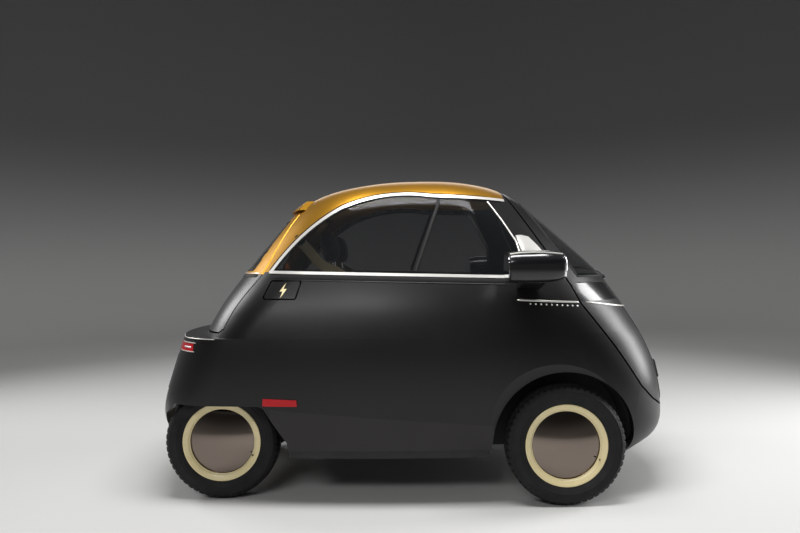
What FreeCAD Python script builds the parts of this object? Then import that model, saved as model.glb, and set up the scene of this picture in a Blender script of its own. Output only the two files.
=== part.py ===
"""Electric bubble microcar with a front door, as a parametric FreeCAD document.

Millimetres. +X is forward, +Y the car's left, +Z up. The origin is on the ground, under the middle of
the car's length and width.
"""
import FreeCAD, Part
import math
import os
import re
import Sketcher

from FreeCAD import Placement, Rotation, Vector

# alias, value, what it is
SIZES = [
    ("body_length", 2519.0, "nose to tail"),
    ("body_width", 1473.0, "widest, at the front wings"),
    ("body_height", 1501.0, "ground to roof"),
    ("wall", 45.0, "whole thickness of body sides, door and hatch"),
    ("roof_wall", 30.0, "whole thickness of the roof"),
    ("glass_thickness", 6.0, "every window"),
    ("flap_thickness", 8.0, "charge flap"),
    ("lens_thickness", 8.0, "light bar and tail lamps"),
    ("seam_gap", 6.0, "gap round the door and charge flap"),
    ("tailgate_gap", 7.5, "gap round the tailgate, which rises past its slanting sides"),
    ("tailgate_skin", 12.0, "depth of the tailgate's full outline"),
    ("tailgate_step", 10.0, "how much narrower the tailgate's frame is behind that"),
    ("body_base", 250.0, "lower edge of the body sides"),
    ("tail_base", 325.0, "lower edge of the tail"),
    ("bumper_base", 152.0, "lower edge of the front bumper"),
    ("tyre_radius", 266.5, "outside radius of a tyre"),
    ("tyre_width", 145.0, "tyre section width"),
    ("rim_radius", 182.5, "rim flange, outside"),
    ("rim_well_radius", 152.0, "rim barrel, outside"),
    ("rim_half_width", 60.0, "rim centre to the flange's outer face"),
    ("disc_radius", 151.0, "chrome wheel disc"),
    ("disc_dome", 28.0, "how far the wheel disc bulges"),
    ("hub_radius", 42.0, "bore the wheel turns on"),
    ("hub_clearance", 0.08, "radial running gap between stub and wheel, and kingpin and arm"),
    ("kingpin_radius", 14.0, "steering pin"),
    ("front_axle_x", 670.0, "front axle ahead of mid-length"),
    ("wheelbase", 1568.0, "front axle to rear axle"),
    ("front_track", 1255.0, "between the front tyre centres"),
    ("rear_track", 875.0, "between the rear tyre centres"),
    ("kingpin_y", 580.0, "steering axis from the middle"),
    ("front_arch_radius", 325.0, "front wheel opening"),
    ("arch_flare", 66.0, "how far the wing's turned-in edge reaches beyond that opening"),
    ("liner_skin", 6.0, "front wheelhouse thickness"),
    ("front_well_y", 395.0, "inner wall of the front wheelhouses"),
    ("rear_well_y", 330.0, "inner wall of the rear wheelhouses"),
    ("wheelhouse_height", 572.0, "top of the rear wheelhouses"),
    ("deck_height", 470.0, "luggage floor between the rear wheels"),
    ("deck_skin", 12.0, "luggage floor and rear wheelhouse thickness"),
    ("bay_front", -560.0, "wall between the cabin and the rear bay"),
    ("floor_height", 205.0, "underside of the floor"),
    ("jack_pad_front", 240.0, "middle of the front jacking pads ahead of mid-length"),
    ("jack_pad_rear", -470.0, "middle of the rear jacking pads"),
    ("jack_pad_y", 500.0, "jacking pads from the middle"),
    ("jack_pad_length", 80.0, "jacking pads, along the car"),
    ("jack_pad_width", 50.0, "jacking pads, across the car"),
    ("jack_pad_drop", 14.0, "how far the jacking pads reach below the floor"),
    ("belt_rear", 1056.0, "window chrome height at its rear end"),
    ("belt_front", 1014.0, "window chrome height at its front end"),
    ("trim_width", 13.0, "chrome round the side windows"),
    ("trim_proud", 4.0, "how far that chrome stands out"),
    ("roof_front", 459.0, "front edge of the roof"),
    ("lip_low", 1355.0, "lower edge of the roof's lip over the tailgate"),
    ("lip_high", 1402.0, "where that lip runs out into the roof"),
    ("lip_half_width", 345.0, "the lip's end from the car's middle"),
    ("lip_reach", 13.0, "how far the lip stands out"),
    ("flap_corner", 12.0, "corner radius of the charge flap's opening"),
    ("band_low", 898.0, "lower edge of the light bar"),
    ("band_high", 980.0, "upper edge of the light bar"),
    ("screen_low", 1008.0, "lower edge of the windscreen"),
    ("screen_high", 1378.0, "upper edge of the windscreen"),
    ("screen_pillar", 62.0, "door frame beside the windscreen, along the car"),
    ("pod_x", 520.0, "middle of the lamp pods"),
    ("pod_y", 806.0, "middle of the lamp pods from the car's middle"),
    ("pod_z", 1058.0, "middle height of the lamp pods"),
    ("pod_length", 236.0, "lamp pods, along the car"),
    ("pod_width", 184.0, "lamp pods, across the car"),
    ("pod_height", 136.0, "lamp pods"),
    ("seat_front", 200.0, "front edge of the bench"),
    ("seat_depth", 430.0, "bench cushion, along the car"),
    ("seat_width", 1060.0, "bench cushion, across the car"),
    ("seat_height", 545.0, "top of the bench cushion"),
    ("seat_cushion", 130.0, "thickness of the bench cushion"),
    ("back_height", 560.0, "bench back, bottom to top"),
    ("back_thickness", 105.0, "bench back"),
    ("back_lean", 9.0, "bench back's lean, degrees"),
    ("restraint_y", 262.0, "middle of a head restraint from the car's middle"),
    ("restraint_width", 270.0, "head restraint, across the car"),
    ("restraint_height", 165.0, "head restraint"),
    ("restraint_thickness", 88.0, "head restraint, along the car"),
    ("battery_height", 150.0, "battery under the bench"),
    ("dash_x", 800.0, "middle of the bar across the door"),
    ("dash_z", 902.0, "middle height of the bar across the door"),
    ("dash_radius", 30.0, "bar across the door"),
    ("socket_x", -582.0, "middle of the charge socket"),
    ("socket_z", 968.0, "middle height of the charge socket"),
    ("socket_mouth", 570.0, "mouth of the charge socket from the car's middle"),
    ("socket_wall", 8.0, "wall round that socket"),
    ("socket_bore", 24.0, "bore radius of the charge socket"),
    ("socket_depth", 25.0, "depth of that bore"),
    ("lamp_low", 700.0, "lower edge of the tail lamps"),
    ("lamp_inner", 300.0, "inner end of a tail lamp from the middle"),
    ("lamp_front", -1000.0, "front end of the tail lamps"),
    ("lamp_high", 738.0, "upper edge of the tail lamps"),
    ("steer_wheel_radius", 170.0, "steering wheel, to the middle of its grip"),
    ("steer_wheel_grip", 14.0, "radius of that grip"),
    ("steer_wheel_y", 280.0, "steering wheel from the middle"),
]

# Body sections as drawn for a car 2519 long, 1473 wide and 1501 high: closed egg outlines of tangent arcs.
# Columns: level, nose x, widest x, tail x, half width, front corner radius, rear corner radius
DRAWN_LENGTH = 2519.0
DRAWN_WIDTH = 1473.0
DRAWN_HEIGHT = 1501.0
LOWER_SECTIONS = [
    (150.0, 1055.0, 150.0, -1040.0, 600.0, 400.0, 330.0),
    (200.0, 1160.0, 157.0, -1125.0, 636.0, 400.0, 330.0),
    (250.0, 1224.0, 165.0, -1190.0, 662.0, 405.0, 330.0),
    (310.0, 1255.0, 173.0, -1238.0, 687.0, 410.0, 330.0),
    (380.0, 1258.5, 179.0, -1259.0, 708.0, 418.0, 325.0),
    (460.0, 1251.0, 183.0, -1250.0, 724.0, 427.0, 320.0),
    (540.0, 1236.0, 184.0, -1225.0, 733.0, 435.0, 318.0),
    (620.0, 1213.0, 183.0, -1198.0, 736.5, 443.0, 315.0),
    (695.0, 1183.0, 180.0, -1174.0, 734.5, 452.0, 312.0),
    (735.0, 1164.0, 177.0, -1160.0, 730.7, 456.5, 311.0),
    (760.0, 1150.0, 175.0, -1151.0, 727.2, 460.0, 310.0),
]
UPPER_SECTIONS = [
    (760.0, 1150.0, 175.0, -1045.0, 727.2, 460.0, 320.0),
    (785.0, 1135.8, 170.3, -1033.5, 723.4, 466.0, 328.0),
    (830.0, 1110.0, 161.0, -1009.0, 715.5, 477.0, 340.0),
    (905.0, 1064.0, 145.0, -963.0, 698.0, 497.0, 358.0),
    (985.0, 1008.0, 127.0, -905.0, 671.0, 515.0, 378.0),
    (1065.0, 940.0, 108.0, -841.0, 639.0, 520.0, 385.0),
    (1150.0, 851.0, 88.0, -773.0, 603.0, 500.0, 380.0),
    (1240.0, 752.0, 64.0, -696.0, 566.0, 465.0, 357.0),
    (1330.0, 650.0, 42.0, -612.0, 528.0, 428.0, 330.0),
    (1405.0, 555.0, 30.0, -515.0, 482.0, 388.0, 300.0),
    (1455.0, 455.0, 34.0, -380.0, 408.0, 335.0, 250.0),
    (1484.0, 345.0, 44.0, -235.0, 303.0, 250.0, 185.0),
    (1497.0, 235.0, 55.0, -105.0, 190.0, 158.0, 115.0),
    (1501.0, 140.0, 66.0, -5.0, 82.0, 66.0, 50.0),
]
HIP_LEVEL, BELT_LEVEL, HEADER_LEVEL = 760.0, 1065.0, 1330.0
CORNER_ANGLES = (20.0, 84.0, 90.0, 100.0, 160.0)   # where a section's arcs meet, from straight ahead

# Side view outlines, (x, z) corners in the car's frame
DOOR_SEAM = [(459.0, 1440.0), (724.0, 977.5), (761.0, 892.0), (908.0, 695.0), (1034.0, 514.0), (1103.0, 448.0),
             (1173.0, 401.0)]
BUMPER_SEAM = [(940.0, 0.0), (1010.0, 470.0), (1034.0, 508.0)]
REAR_ARCH = [(-571.0, 0.0), (-571.0, 289.0), (-669.0, 449.0), (-690.0, 460.0), (-1100.0, 460.0),
             (-1165.0, 400.0), (-1180.0, 325.0), (-1180.0, 0.0)]
SILL_LINE = [(-640.0, 446.0), (372.0, 362.0)]
TAIL_SEAM = [(-872.0, 779.0), (-884.0, 755.0), (-950.0, 600.0), (-1010.0, 455.0), (-1010.0, 0.0)]
FLAP_OUTLINE = [(-680.0, 931.0), (-640.0, 1018.0), (-490.0, 1018.0), (-518.0, 929.0)]
# Rear view outlines, (y, z) corners of one side
TAILGATE = [(326.0, 1342.0), (498.0, 1044.0), (560.0, 800.0), (548.0, 785.0)]
REAR_WINDOW = [(282.0, 1304.0), (405.0, 1065.0)]
SIDE_REFLECTOR = [(-669.0, 463.0), (-514.0, 462.0), (-516.0, 490.0), (-667.0, 496.0)]
FAR = 2500.0                                        # beyond any surface of the car

document = FreeCAD.newDocument("microcar")
sheet = document.addObject("Spreadsheet::Sheet", "Sizes")
SIZE_NAMES = {name for name, number, note in SIZES}
PARTS = []


def fill_sheet():
    """Write the driving sizes with their aliases."""
    for row, (name, number, note) in enumerate(SIZES, start=1):
        sheet.set(f"A{row}", name)
        sheet.set(f"B{row}", str(number))
        sheet.setAlias(f"B{row}", name)
        sheet.set(f"C{row}", note)
    document.recompute()


def bound(text):
    """Spell an expression's size names as the sheet's cells."""
    return re.sub(r"[a-z_]+", lambda word: "Sizes." + word.group(0) if word.group(0) in SIZE_NAMES
                  else word.group(0), text)


def value(text):
    """The number that an expression of size names gives."""
    result = sheet.evalExpression(text)
    return float(getattr(result, "Value", result))


# ---------------------------------------------------------------- makers

def keep(item, label):
    """Register a finished sub-part under its node name."""
    item.Label = label
    PARTS.append(item)
    return item


def place(item, x="0", y="0", z="0"):
    """Tie an object's position to the sheet."""
    for axis, text in (("x", x), ("y", y), ("z", z)):
        item.setExpression(f"Placement.Base.{axis}", bound(text))
    return item


def box(label, length, width, height, x, y, z):
    """A block from its sizes and its lowest corner, all expressions."""
    item = document.addObject("Part::Box", label)
    for name, text in (("Length", length), ("Width", width), ("Height", height)):
        item.setExpression(name, bound(text))
    return keep(place(item, x, y, z), label)


def feature(label, shape, placement=None):
    """A sub-part whose shape Part's own functions made."""
    item = document.addObject("Part::Feature", label)
    item.Shape = shape
    item.Placement = placement or Placement()
    return keep(item, label)


def revolved(label, corners, outward, x, y, z):
    """A PartDesign body turned about its own Y axis from (radius, offset) corners given as expressions."""
    body = document.addObject("PartDesign::Body", label)
    plane = next(item for item in body.Origin.OriginFeatures if item.Role == "XY_Plane")
    sketch = body.newObject("Sketcher::SketchObject", label + "_outline")
    sketch.AttachmentSupport = [(plane, "")]
    sketch.MapMode = "FlatFace"
    points = [Vector(value(radius), value(offset), 0) for radius, offset in corners]
    for index, point in enumerate(points):
        sketch.addGeometry(Part.LineSegment(point, points[(index + 1) % len(points)]), False)
    for index in range(len(points)):
        sketch.addConstraint(Sketcher.Constraint("Coincident", index, 2, (index + 1) % len(points), 1))
    for index, (radius, offset) in enumerate(corners):
        for kind, text, number in (("DistanceX", radius, points[index].x), ("DistanceY", offset, points[index].y)):
            row = sketch.addConstraint(Sketcher.Constraint(kind, -1, 1, index, 1, number))
            sketch.setExpression(f"Constraints[{row}]", bound(text))
    turn = body.newObject("PartDesign::Revolution", label + "_turn")
    turn.Profile = sketch
    turn.ReferenceAxis = (sketch, ["V_Axis"])
    turn.Angle = 360.0
    body.Tip = turn
    body.Placement = Placement(Vector(0, 0, 0), Rotation(Vector(0, 0, 1), outward))
    return keep(place(body, x, y, z), label)


def block(low, high):
    """A plain block between two corners."""
    size = Vector(*high) - Vector(*low)
    return Part.makeBox(size.x, size.y, size.z, Vector(*low))


def both_sides(shape):
    """A shape with its mirror image across the car."""
    return shape.fuse([shape.mirror(Vector(0, 0, 0), Vector(0, 1, 0))])


def pair(shape):
    """A shape and its mirror image as separate solids."""
    return Part.makeCompound(shape.Solids + shape.mirror(Vector(0, 0, 0), Vector(0, 1, 0)).Solids)


def beam(start, end, width, height):
    """A straight rectangular bar between two points."""
    run = Vector(*end) - Vector(*start)
    bar = Part.makeBox(width, height, run.Length, Vector(-width / 2, -height / 2, 0))
    bar.Placement = Placement(Vector(*start), Rotation(Vector(0, 0, 1), run))
    return bar


def rod(start, end, radius):
    """A round bar between two points."""
    run = Vector(*end) - Vector(*start)
    return Part.makeCylinder(radius, run.Length, Vector(*start), run)


def grown(corners, distance):
    """A closed outline without hollows, every side moved outward."""
    middle = (sum(u for u, v in corners) / len(corners), sum(v for u, v in corners) / len(corners))
    sides = []
    for (u, v), (next_u, next_v) in zip(corners, corners[1:] + corners[:1]):
        length = math.hypot(next_u - u, next_v - v)
        across, along = (next_v - v) / length, (u - next_u) / length
        if across * (u - middle[0]) + along * (v - middle[1]) < 0:
            across, along = -across, -along
        sides.append((across, along, across * u + along * v + distance))
    result = []
    for (a, b, c), (d, e, f) in zip(sides[-1:] + sides[:-1], sides):
        spread = a * e - b * d
        result.append(((c * e - f * b) / spread, (a * f - d * c) / spread))
    return result


def side_prism(corners, low_y=-FAR, high_y=FAR):
    """A side view outline run across the car."""
    points = [Vector(x, low_y, z) for x, z in corners]
    face = Part.Face(Part.makePolygon(points + points[:1]))
    return face.extrude(Vector(0, high_y - low_y, 0))


def rounded_prism(corners, radius):
    """A side view outline with rounded corners, run through the car's right side."""
    prism = side_prism(corners, -FAR, -300)
    return prism.makeFillet(radius, [edge for edge in prism.Edges if abs(edge.tangentAt(0).y) > 0.99])


def rear_prism(corners, low_x, high_x):
    """A rear view outline, (y, z) corners, run along the car."""
    points = [Vector(low_x, y, z) for y, z in corners]
    face = Part.Face(Part.makePolygon(points + points[:1]))
    return face.extrude(Vector(high_x - low_x, 0, 0))


def arc_prism(start, path, low_y, high_y):
    """A side view outline run across the car: (x, z) is a line, (middle x, middle z, x, z) an arc."""
    here = Vector(start[0], low_y, start[1])
    first = here
    edges = []
    for step in path:
        there = Vector(step[-2], low_y, step[-1])
        if len(step) == 4:
            edges.append(Part.Arc(here, Vector(step[0], low_y, step[1]), there).toShape())
        else:
            edges.append(Part.LineSegment(here, there).toShape())
        here = there
    edges.append(Part.LineSegment(here, first).toShape())
    return Part.Face(Part.Wire(edges)).extrude(Vector(0, high_y - low_y, 0))


# ---------------------------------------------------------------- body form

def end_radii(length, half_width, corner, angle, edge):
    """End and side radii that close half a section with a corner radius between them.

    The end arc runs to angle and the side arc starts at edge, both from the car's long axis.
    """
    cos_end, sin_end = math.cos(math.radians(angle)), math.sin(math.radians(angle))
    cos_side, sin_side = math.cos(math.radians(edge)), math.sin(math.radians(edge))
    across = half_width - corner * (sin_side - sin_end)
    along = length - corner * (cos_end - cos_side)
    side = (along * sin_end - across * (1 - cos_end)) / (cos_side * sin_end - (1 - sin_side) * (1 - cos_end))
    return (across - side * (1 - sin_side)) / sin_end, side


def egg_wire(level, nose, widest, tail, half_width, front, rear):
    """One closed body section."""
    first, second, third, fourth, fifth = CORNER_ANGLES
    nose_radius, front_side = end_radii(nose - widest, half_width, front, first, second)
    tail_radius, rear_side = end_radii(widest - tail, half_width, rear, 180 - fifth, 180 - fourth)
    radii = (nose_radius, front, front_side, rear_side, rear, tail_radius)
    angles = [math.radians(angle) for angle in (0.0,) + CORNER_ANGLES + (180.0,)]
    left = []
    start = Vector(nose, 0, level)
    for radius, begin, end in zip(radii, angles, angles[1:]):
        centre = start - Vector(math.cos(begin), math.sin(begin), 0) * radius
        spots = (begin, (begin + end) / 2, end)
        points = [centre + Vector(math.cos(angle), math.sin(angle), 0) * radius for angle in spots]
        left.append(points)
        start = points[2]
    left[-1][2].y = 0.0
    right = [[Vector(point.x, -point.y, point.z) for point in reversed(points)] for points in reversed(left)]
    return Part.Wire([Part.Arc(*points).toShape() for points in left + right])


def body_solid(sections, inset=0.0, drop=0.0):
    """The body's form, smaller all round by inset and lower at the roof by drop."""
    long = value("body_length") / DRAWN_LENGTH
    wide = value("body_width") / DRAWN_WIDTH
    high = value("body_height") / DRAWN_HEIGHT
    wires = []
    for level, nose, widest, tail, half_width, front, rear in sections:
        height = level * high
        if level == HIP_LEVEL:
            height -= max(inset, 0.0)
        height -= drop * min(1.0, max(0.0, (level - BELT_LEVEL) / (HEADER_LEVEL - BELT_LEVEL)))
        wires.append(egg_wire(height, nose * long - inset, widest * long, tail * long + inset,
                              half_width * wide - inset, front - inset, rear - inset))
    return Part.makeLoft(wires, True, False, False)


def whole_form(inset=0.0, drop=0.0):
    """Lower and upper body as one solid."""
    return body_solid(LOWER_SECTIONS, inset).fuse([body_solid(UPPER_SECTIONS, inset, drop)])


# ---------------------------------------------------------------- regions of the panels

def belt_at(x):
    """Height of the middle of the window chrome under the side windows."""
    rear_x, front_x = -650.0, 480.0
    share = (x - rear_x) / (front_x - rear_x)
    return value("belt_rear") + share * (value("belt_front") - value("belt_rear"))


def window_arc(inward):
    """The arc over a side window, moved towards the glass by inward: start, then path to the roof's front."""
    rear_x = -655 + 1.3 * inward
    return (rear_x, belt_at(rear_x)), [(-520 + 0.9 * inward, 1215 - 0.6 * inward, -324 + 0.6 * inward,
                                        1355 - 0.9 * inward),
                                       (-130, 1409 - inward, 100, 1406 - inward)]


def door_region(gap):
    """Everything in front of the door's seam, moved back by a gap."""
    corners = [(x - gap, z - gap) for x, z in DOOR_SEAM]
    return side_prism([(corners[0][0], FAR)] + corners + [(FAR, corners[-1][1]), (FAR, FAR)])


def tailgate_region(gap):
    """The tailgate's outline in rear view, grown by a gap."""
    outline = TAILGATE + [(-y, z) for y, z in reversed(TAILGATE)]
    return rear_prism(grown(outline, gap), -FAR, -400.0)


def roof_region():
    """Everything above the arcs over the side windows, with the rear pillars down to the belt."""
    front = value("roof_front")
    start, path = window_arc(0.0)
    ending = [(front, 1386), (front, FAR), (-FAR, FAR), (-FAR, start[1])]
    return arc_prism(start, path + ending, -FAR, FAR)


def side_window_region(side):
    """A side window's outline, on one side of the car."""
    start, path = window_arc(0.0)
    ending = [(372, 1390), (495, 1172), (498, belt_at(498))]
    low_y, high_y = (200, FAR) if side > 0 else (-FAR, -200)
    return arc_prism(start, path + ending, low_y, high_y)


def trim_region():
    """The strip of chrome round the left side window: over the arc and along the belt."""
    width = value("trim_width")
    start, path = window_arc(0.0)
    inner_start, inner_path = window_arc(width)
    ending = [(value("roof_front"), 1386), (value("roof_front"), 1386 - width)]
    over = arc_prism(start, path + ending, 200, FAR)
    below = arc_prism(inner_start, inner_path + [(value("roof_front"), 1386 - width), (470, 900), (-655, 900)],
                      100, FAR)
    strip = [(-655, belt_at(-655) - width / 2), (480, belt_at(480) - width / 2),
             (480, belt_at(480) + width / 2), (-655, belt_at(-655) + width / 2)]
    return over.cut(below).fuse([side_prism(strip, 200, FAR)])


def front_arch(grow=0.0, low_y=300.0, high_y=FAR):
    """The round space over the left front wheel."""
    return Part.makeCylinder(value("front_arch_radius") + grow, high_y - low_y,
                             Vector(value("front_axle_x"), low_y, value("tyre_radius")), Vector(0, 1, 0))


def arch_lip():
    """The cone that turns the left front wing's edge in towards its opening."""
    radius = value("front_arch_radius")
    flare = value("arch_flare")
    surface = value("body_width") / 2
    depth = 0.7 * flare
    return Part.makeCone(radius, radius + 2 * flare, 2 * depth,
                         Vector(value("front_axle_x"), surface - depth, value("tyre_radius")), Vector(0, 1, 0))


# ---------------------------------------------------------------- body, door and tailgate

def make_fixed_panels(shell, outer):
    """Roof, sides, sills, tail, bumper and charge flap."""
    gap = value("seam_gap")
    moving = [door_region(gap), tailgate_region(value("tailgate_gap"))]
    roof_space = roof_region()
    feature("roof_panel", shell.common(roof_space).cut(moving).fuse([roof_lip()]))

    arches = both_sides(front_arch()).fuse([side_prism(REAR_ARCH)])
    bumper_space = side_prism(BUMPER_SEAM + [(x - gap, z - gap) for x, z in DOOR_SEAM[5:]]
                              + [(FAR, DOOR_SEAM[-1][1] - gap), (FAR, 0)])
    tail_space = side_prism([(-FAR, TAIL_SEAM[0][1])] + TAIL_SEAM + [(-FAR, 0)])
    sill_space = side_prism(SILL_LINE + [(SILL_LINE[1][0], 0), (SILL_LINE[0][0], 0)])
    windows = [side_window_region(1), side_window_region(-1)]
    rest = shell.cut([roof_space, arches, both_sides(arch_lip())] + moving + windows)

    feature("front_bumper", rest.common(bumper_space).common(block((0, -FAR, value("bumper_base")),
                                                                   (FAR, FAR, FAR))))
    above_base = block((-FAR, -FAR, value("body_base")), (FAR, FAR, FAR))
    tail = rest.common(tail_space).common(block((-FAR, -FAR, value("tail_base")), (0, FAR, FAR)))
    make_tail(tail)
    feature("sills", rest.common(sill_space).common(above_base))
    sides = rest.common(above_base).cut([sill_space, tail_space, bumper_space])
    flap_space = rounded_prism(FLAP_OUTLINE, value("flap_corner"))
    feature("body_side_left", sides.common(block((-FAR, 0, 0), (FAR, FAR, FAR))))
    feature("body_side_right", sides.common(block((-FAR, -FAR, 0), (FAR, 0, FAR))).cut(flap_space))

    flap = outer.common(rounded_prism(grown(FLAP_OUTLINE, -gap), value("flap_corner - seam_gap / 2")))
    feature("charge_flap", flap.cut(body_solid(UPPER_SECTIONS, value("flap_thickness"))))


def roof_lip():
    """A visor across the roof's rear edge, thinning out upwards and to its ends."""
    low, high = value("lip_low"), value("lip_high")
    half, reach = value("lip_half_width"), value("lip_reach")
    proud = body_solid(UPPER_SECTIONS, -reach, -reach)
    core = body_solid(UPPER_SECTIONS, value("roof_wall / 2"), value("roof_wall / 2"))
    outline = [(-half, low), (half, low), (half - 60, high), (60 - half, high)]
    return proud.common(rear_prism(outline, -FAR, -400.0)).cut(core)


def make_tail(tail):
    """The tail with its lamps let in, and the reflectors on the rear quarters."""
    lamp_space = both_sides(block((-FAR, value("lamp_inner"), value("lamp_low")),
                                  (value("lamp_front"), FAR, value("lamp_high"))))
    lower = body_solid(LOWER_SECTIONS)
    behind_lamp = body_solid(LOWER_SECTIONS, value("lens_thickness"))
    feature("tail_panel", tail.cut(lamp_space.cut(behind_lamp)))
    lamps = lower.common(lamp_space).cut(behind_lamp)
    feature("tail_lamps", Part.makeCompound(lamps.Solids))
    proud = body_solid(LOWER_SECTIONS, -value("trim_proud"))
    feature("side_reflectors", pair(proud.common(side_prism(SIDE_REFLECTOR, 300)).cut(lower)))


def make_body():
    """Every panel and window that is split from the body's shell."""
    wall = value("wall")
    glass = value("glass_thickness")
    outer = whole_form()
    cabin = whole_form(wall, value("roof_wall"))
    shell = outer.cut(cabin)
    make_fixed_panels(shell, outer)

    upper = body_solid(UPPER_SECTIONS)
    behind_glass = body_solid(UPPER_SECTIONS, glass, glass)
    windows = [upper.common(side_window_region(side)).cut(behind_glass) for side in (1, -1)]
    feature("side_windows", Part.makeCompound([solid for window in windows for solid in window.Solids]))
    proud = body_solid(UPPER_SECTIONS, -value("trim_proud"), -value("trim_proud"))
    trim = proud.common(trim_region()).cut(upper)
    feature("window_trim", pair(trim))
    make_door(shell, upper, behind_glass)
    make_tailgate(shell, upper, behind_glass)
    return outer, cabin


def make_door(shell, upper, behind_glass):
    """Front door: its panel, the windscreen and the light bar across its nose."""
    door_space = door_region(0.0)
    low, high = value("screen_low"), value("screen_high")
    (top_x, top_z), (low_x, low_z) = DOOR_SEAM[:2]
    slope = (low_x - top_x) / (low_z - top_z)
    pillar = value("screen_pillar")
    edge = [(top_x + (z - top_z) * slope + pillar, z) for z in (high, low)]
    screen_space = side_prism(edge + [(FAR, low), (FAR, high)])
    feature("windscreen", upper.common(screen_space).cut(behind_glass))
    band = block((400, -FAR, value("band_low")), (FAR, FAR, value("band_high")))
    behind_band = body_solid(UPPER_SECTIONS, value("lens_thickness"))
    feature("light_bar", upper.common(door_space).common(band).cut(behind_band))
    feature("door_panel", shell.common(door_space).cut([screen_space, band.cut(behind_band)]))


def make_tailgate(shell, upper, behind_glass):
    """Tailgate with its window."""
    region = tailgate_region(0.0)
    window = rear_prism(REAR_WINDOW + [(-y, z) for y, z in reversed(REAR_WINDOW)], -FAR, -400)
    feature("rear_window", upper.common(window).cut(behind_glass))
    skin = value("tailgate_skin")
    frame_edge = body_solid(UPPER_SECTIONS, skin, skin).cut(tailgate_region(-value("tailgate_step")))
    feature("tailgate_panel", shell.common(region).cut([window, frame_edge]))


# ---------------------------------------------------------------- wheels and axles

def wheel_outlines():
    """Turned outlines of tyre, rim and disc, (radius, offset) corners with +offset outward."""
    half = "tyre_width / 2"
    flange = "rim_half_width"
    tyre = [("rim_radius - 13", "42"), ("rim_radius + 4", f"{half} - 14"), ("rim_radius + 36", half),
            ("tyre_radius - 24", f"{half} - 3"), ("tyre_radius - 7", f"{half} - 14"), ("tyre_radius", f"{half} - 30"),
            ("tyre_radius", f"30 - {half}"), ("tyre_radius - 7", f"14 - {half}"), ("tyre_radius - 24", f"3 - {half}"),
            ("rim_radius + 36", f"-{half}"), ("rim_radius + 4", f"14 - {half}"), ("rim_radius - 13", "-42"),
            ("rim_radius + 10", "-46"), ("tyre_radius - 14", "-44"), ("tyre_radius - 14", "44"),
            ("rim_radius + 10", "46")]
    rim = [("rim_radius", f"{flange} - 4"), ("rim_radius", flange), ("rim_radius - 17", flange),
           ("rim_radius - 17", f"{flange} - 20"), ("rim_well_radius", "30"), ("hub_radius + 14", "14"),
           ("hub_radius + 14", "26"), ("hub_radius", "26"), ("hub_radius", "-20"), ("hub_radius + 14", "-20"),
           ("hub_radius + 14", "8"), ("rim_well_radius - 4", "24"), ("rim_well_radius - 4", "-30"),
           ("rim_radius - 17", "-40"), ("rim_radius - 17", f"-{flange}"), ("rim_radius", f"-{flange}"),
           ("rim_radius", f"4 - {flange}"), ("rim_radius - 13", f"4 - {flange}"), ("rim_radius - 13", "-38"),
           ("rim_well_radius", "-28"), ("rim_well_radius", "20"), ("rim_radius - 13", "38"),
           ("rim_radius - 13", f"{flange} - 4")]
    disc = [("disc_radius", "40"), ("disc_radius * 0.87", "40 + disc_dome * 0.34"),
            ("disc_radius * 0.6", "40 + disc_dome * 0.72"), ("disc_radius * 0.3", "40 + disc_dome * 0.93"),
            ("0", "40 + disc_dome"), ("0", "37 + disc_dome"), ("disc_radius * 0.6", "37 + disc_dome * 0.72"),
            ("disc_radius * 0.87", "37 + disc_dome * 0.34"), ("disc_radius - 3", "37")]
    return {"tyre": tyre, "rim": rim, "disc": disc}


def make_wheels():
    """Four wheels, each a tyre, a rim with its nave and a domed disc."""
    for end, x, track in (("front", "front_axle_x", "front_track"),
                          ("rear", "front_axle_x - wheelbase", "rear_track")):
        for side, sign, outward in (("left", "", 0.0), ("right", "-", 180.0)):
            for piece, corners in wheel_outlines().items():
                revolved(f"{piece}_{end}_{side}", corners, outward, x, f"{sign}{track} / 2", "tyre_radius")


def make_knuckles():
    """Front knuckles: kingpin, upright and the stub that carries the wheel."""
    x = value("front_axle_x")
    z = value("tyre_radius")
    pin_y = value("kingpin_y")
    stub = value("hub_radius") - value("hub_clearance")
    for side, sign in (("left", 1), ("right", -1)):
        low_y, high_y = sorted((sign * (pin_y - 22), sign * (pin_y + 16)))
        pin = rod((x, sign * pin_y, z - 100), (x, sign * pin_y, z + 100), value("kingpin_radius"))
        upright = block((x - 32, low_y, z - 55), (x + 32, high_y, z + 55))
        shaft = rod((x, sign * pin_y, z), (x, sign * (value("front_track") / 2 + 30), z), stub)
        feature(f"knuckle_{side}", pin.fuse([upright, shaft]).removeSplitter())


def make_front_axle():
    """Cross member under the floor, towers in the wheelhouses and arms out to the kingpins."""
    x = value("front_axle_x")
    z = value("tyre_radius")
    pin_y = value("kingpin_y")
    low = value("floor_height")
    tower_y = value("front_well_y") + 6
    axle = block((x - 45, -tower_y - 35, low - 30), (x + 45, tower_y + 35, low))
    axle = axle.fuse([both_sides(block((x - 35, tower_y, low - 30), (x + 35, tower_y + 35, z + 100)))])
    for height in (-80, 80):
        arm = block((x - 30, tower_y + 20, z + height - 9), (x + 30, pin_y + 24, z + height + 9))
        axle = axle.fuse([both_sides(arm)])
    eyes = both_sides(rod((x, pin_y, z - 150), (x, pin_y, z + 150), value("kingpin_radius + hub_clearance")))
    feature("front_axle", axle.cut(eyes).removeSplitter())


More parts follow.
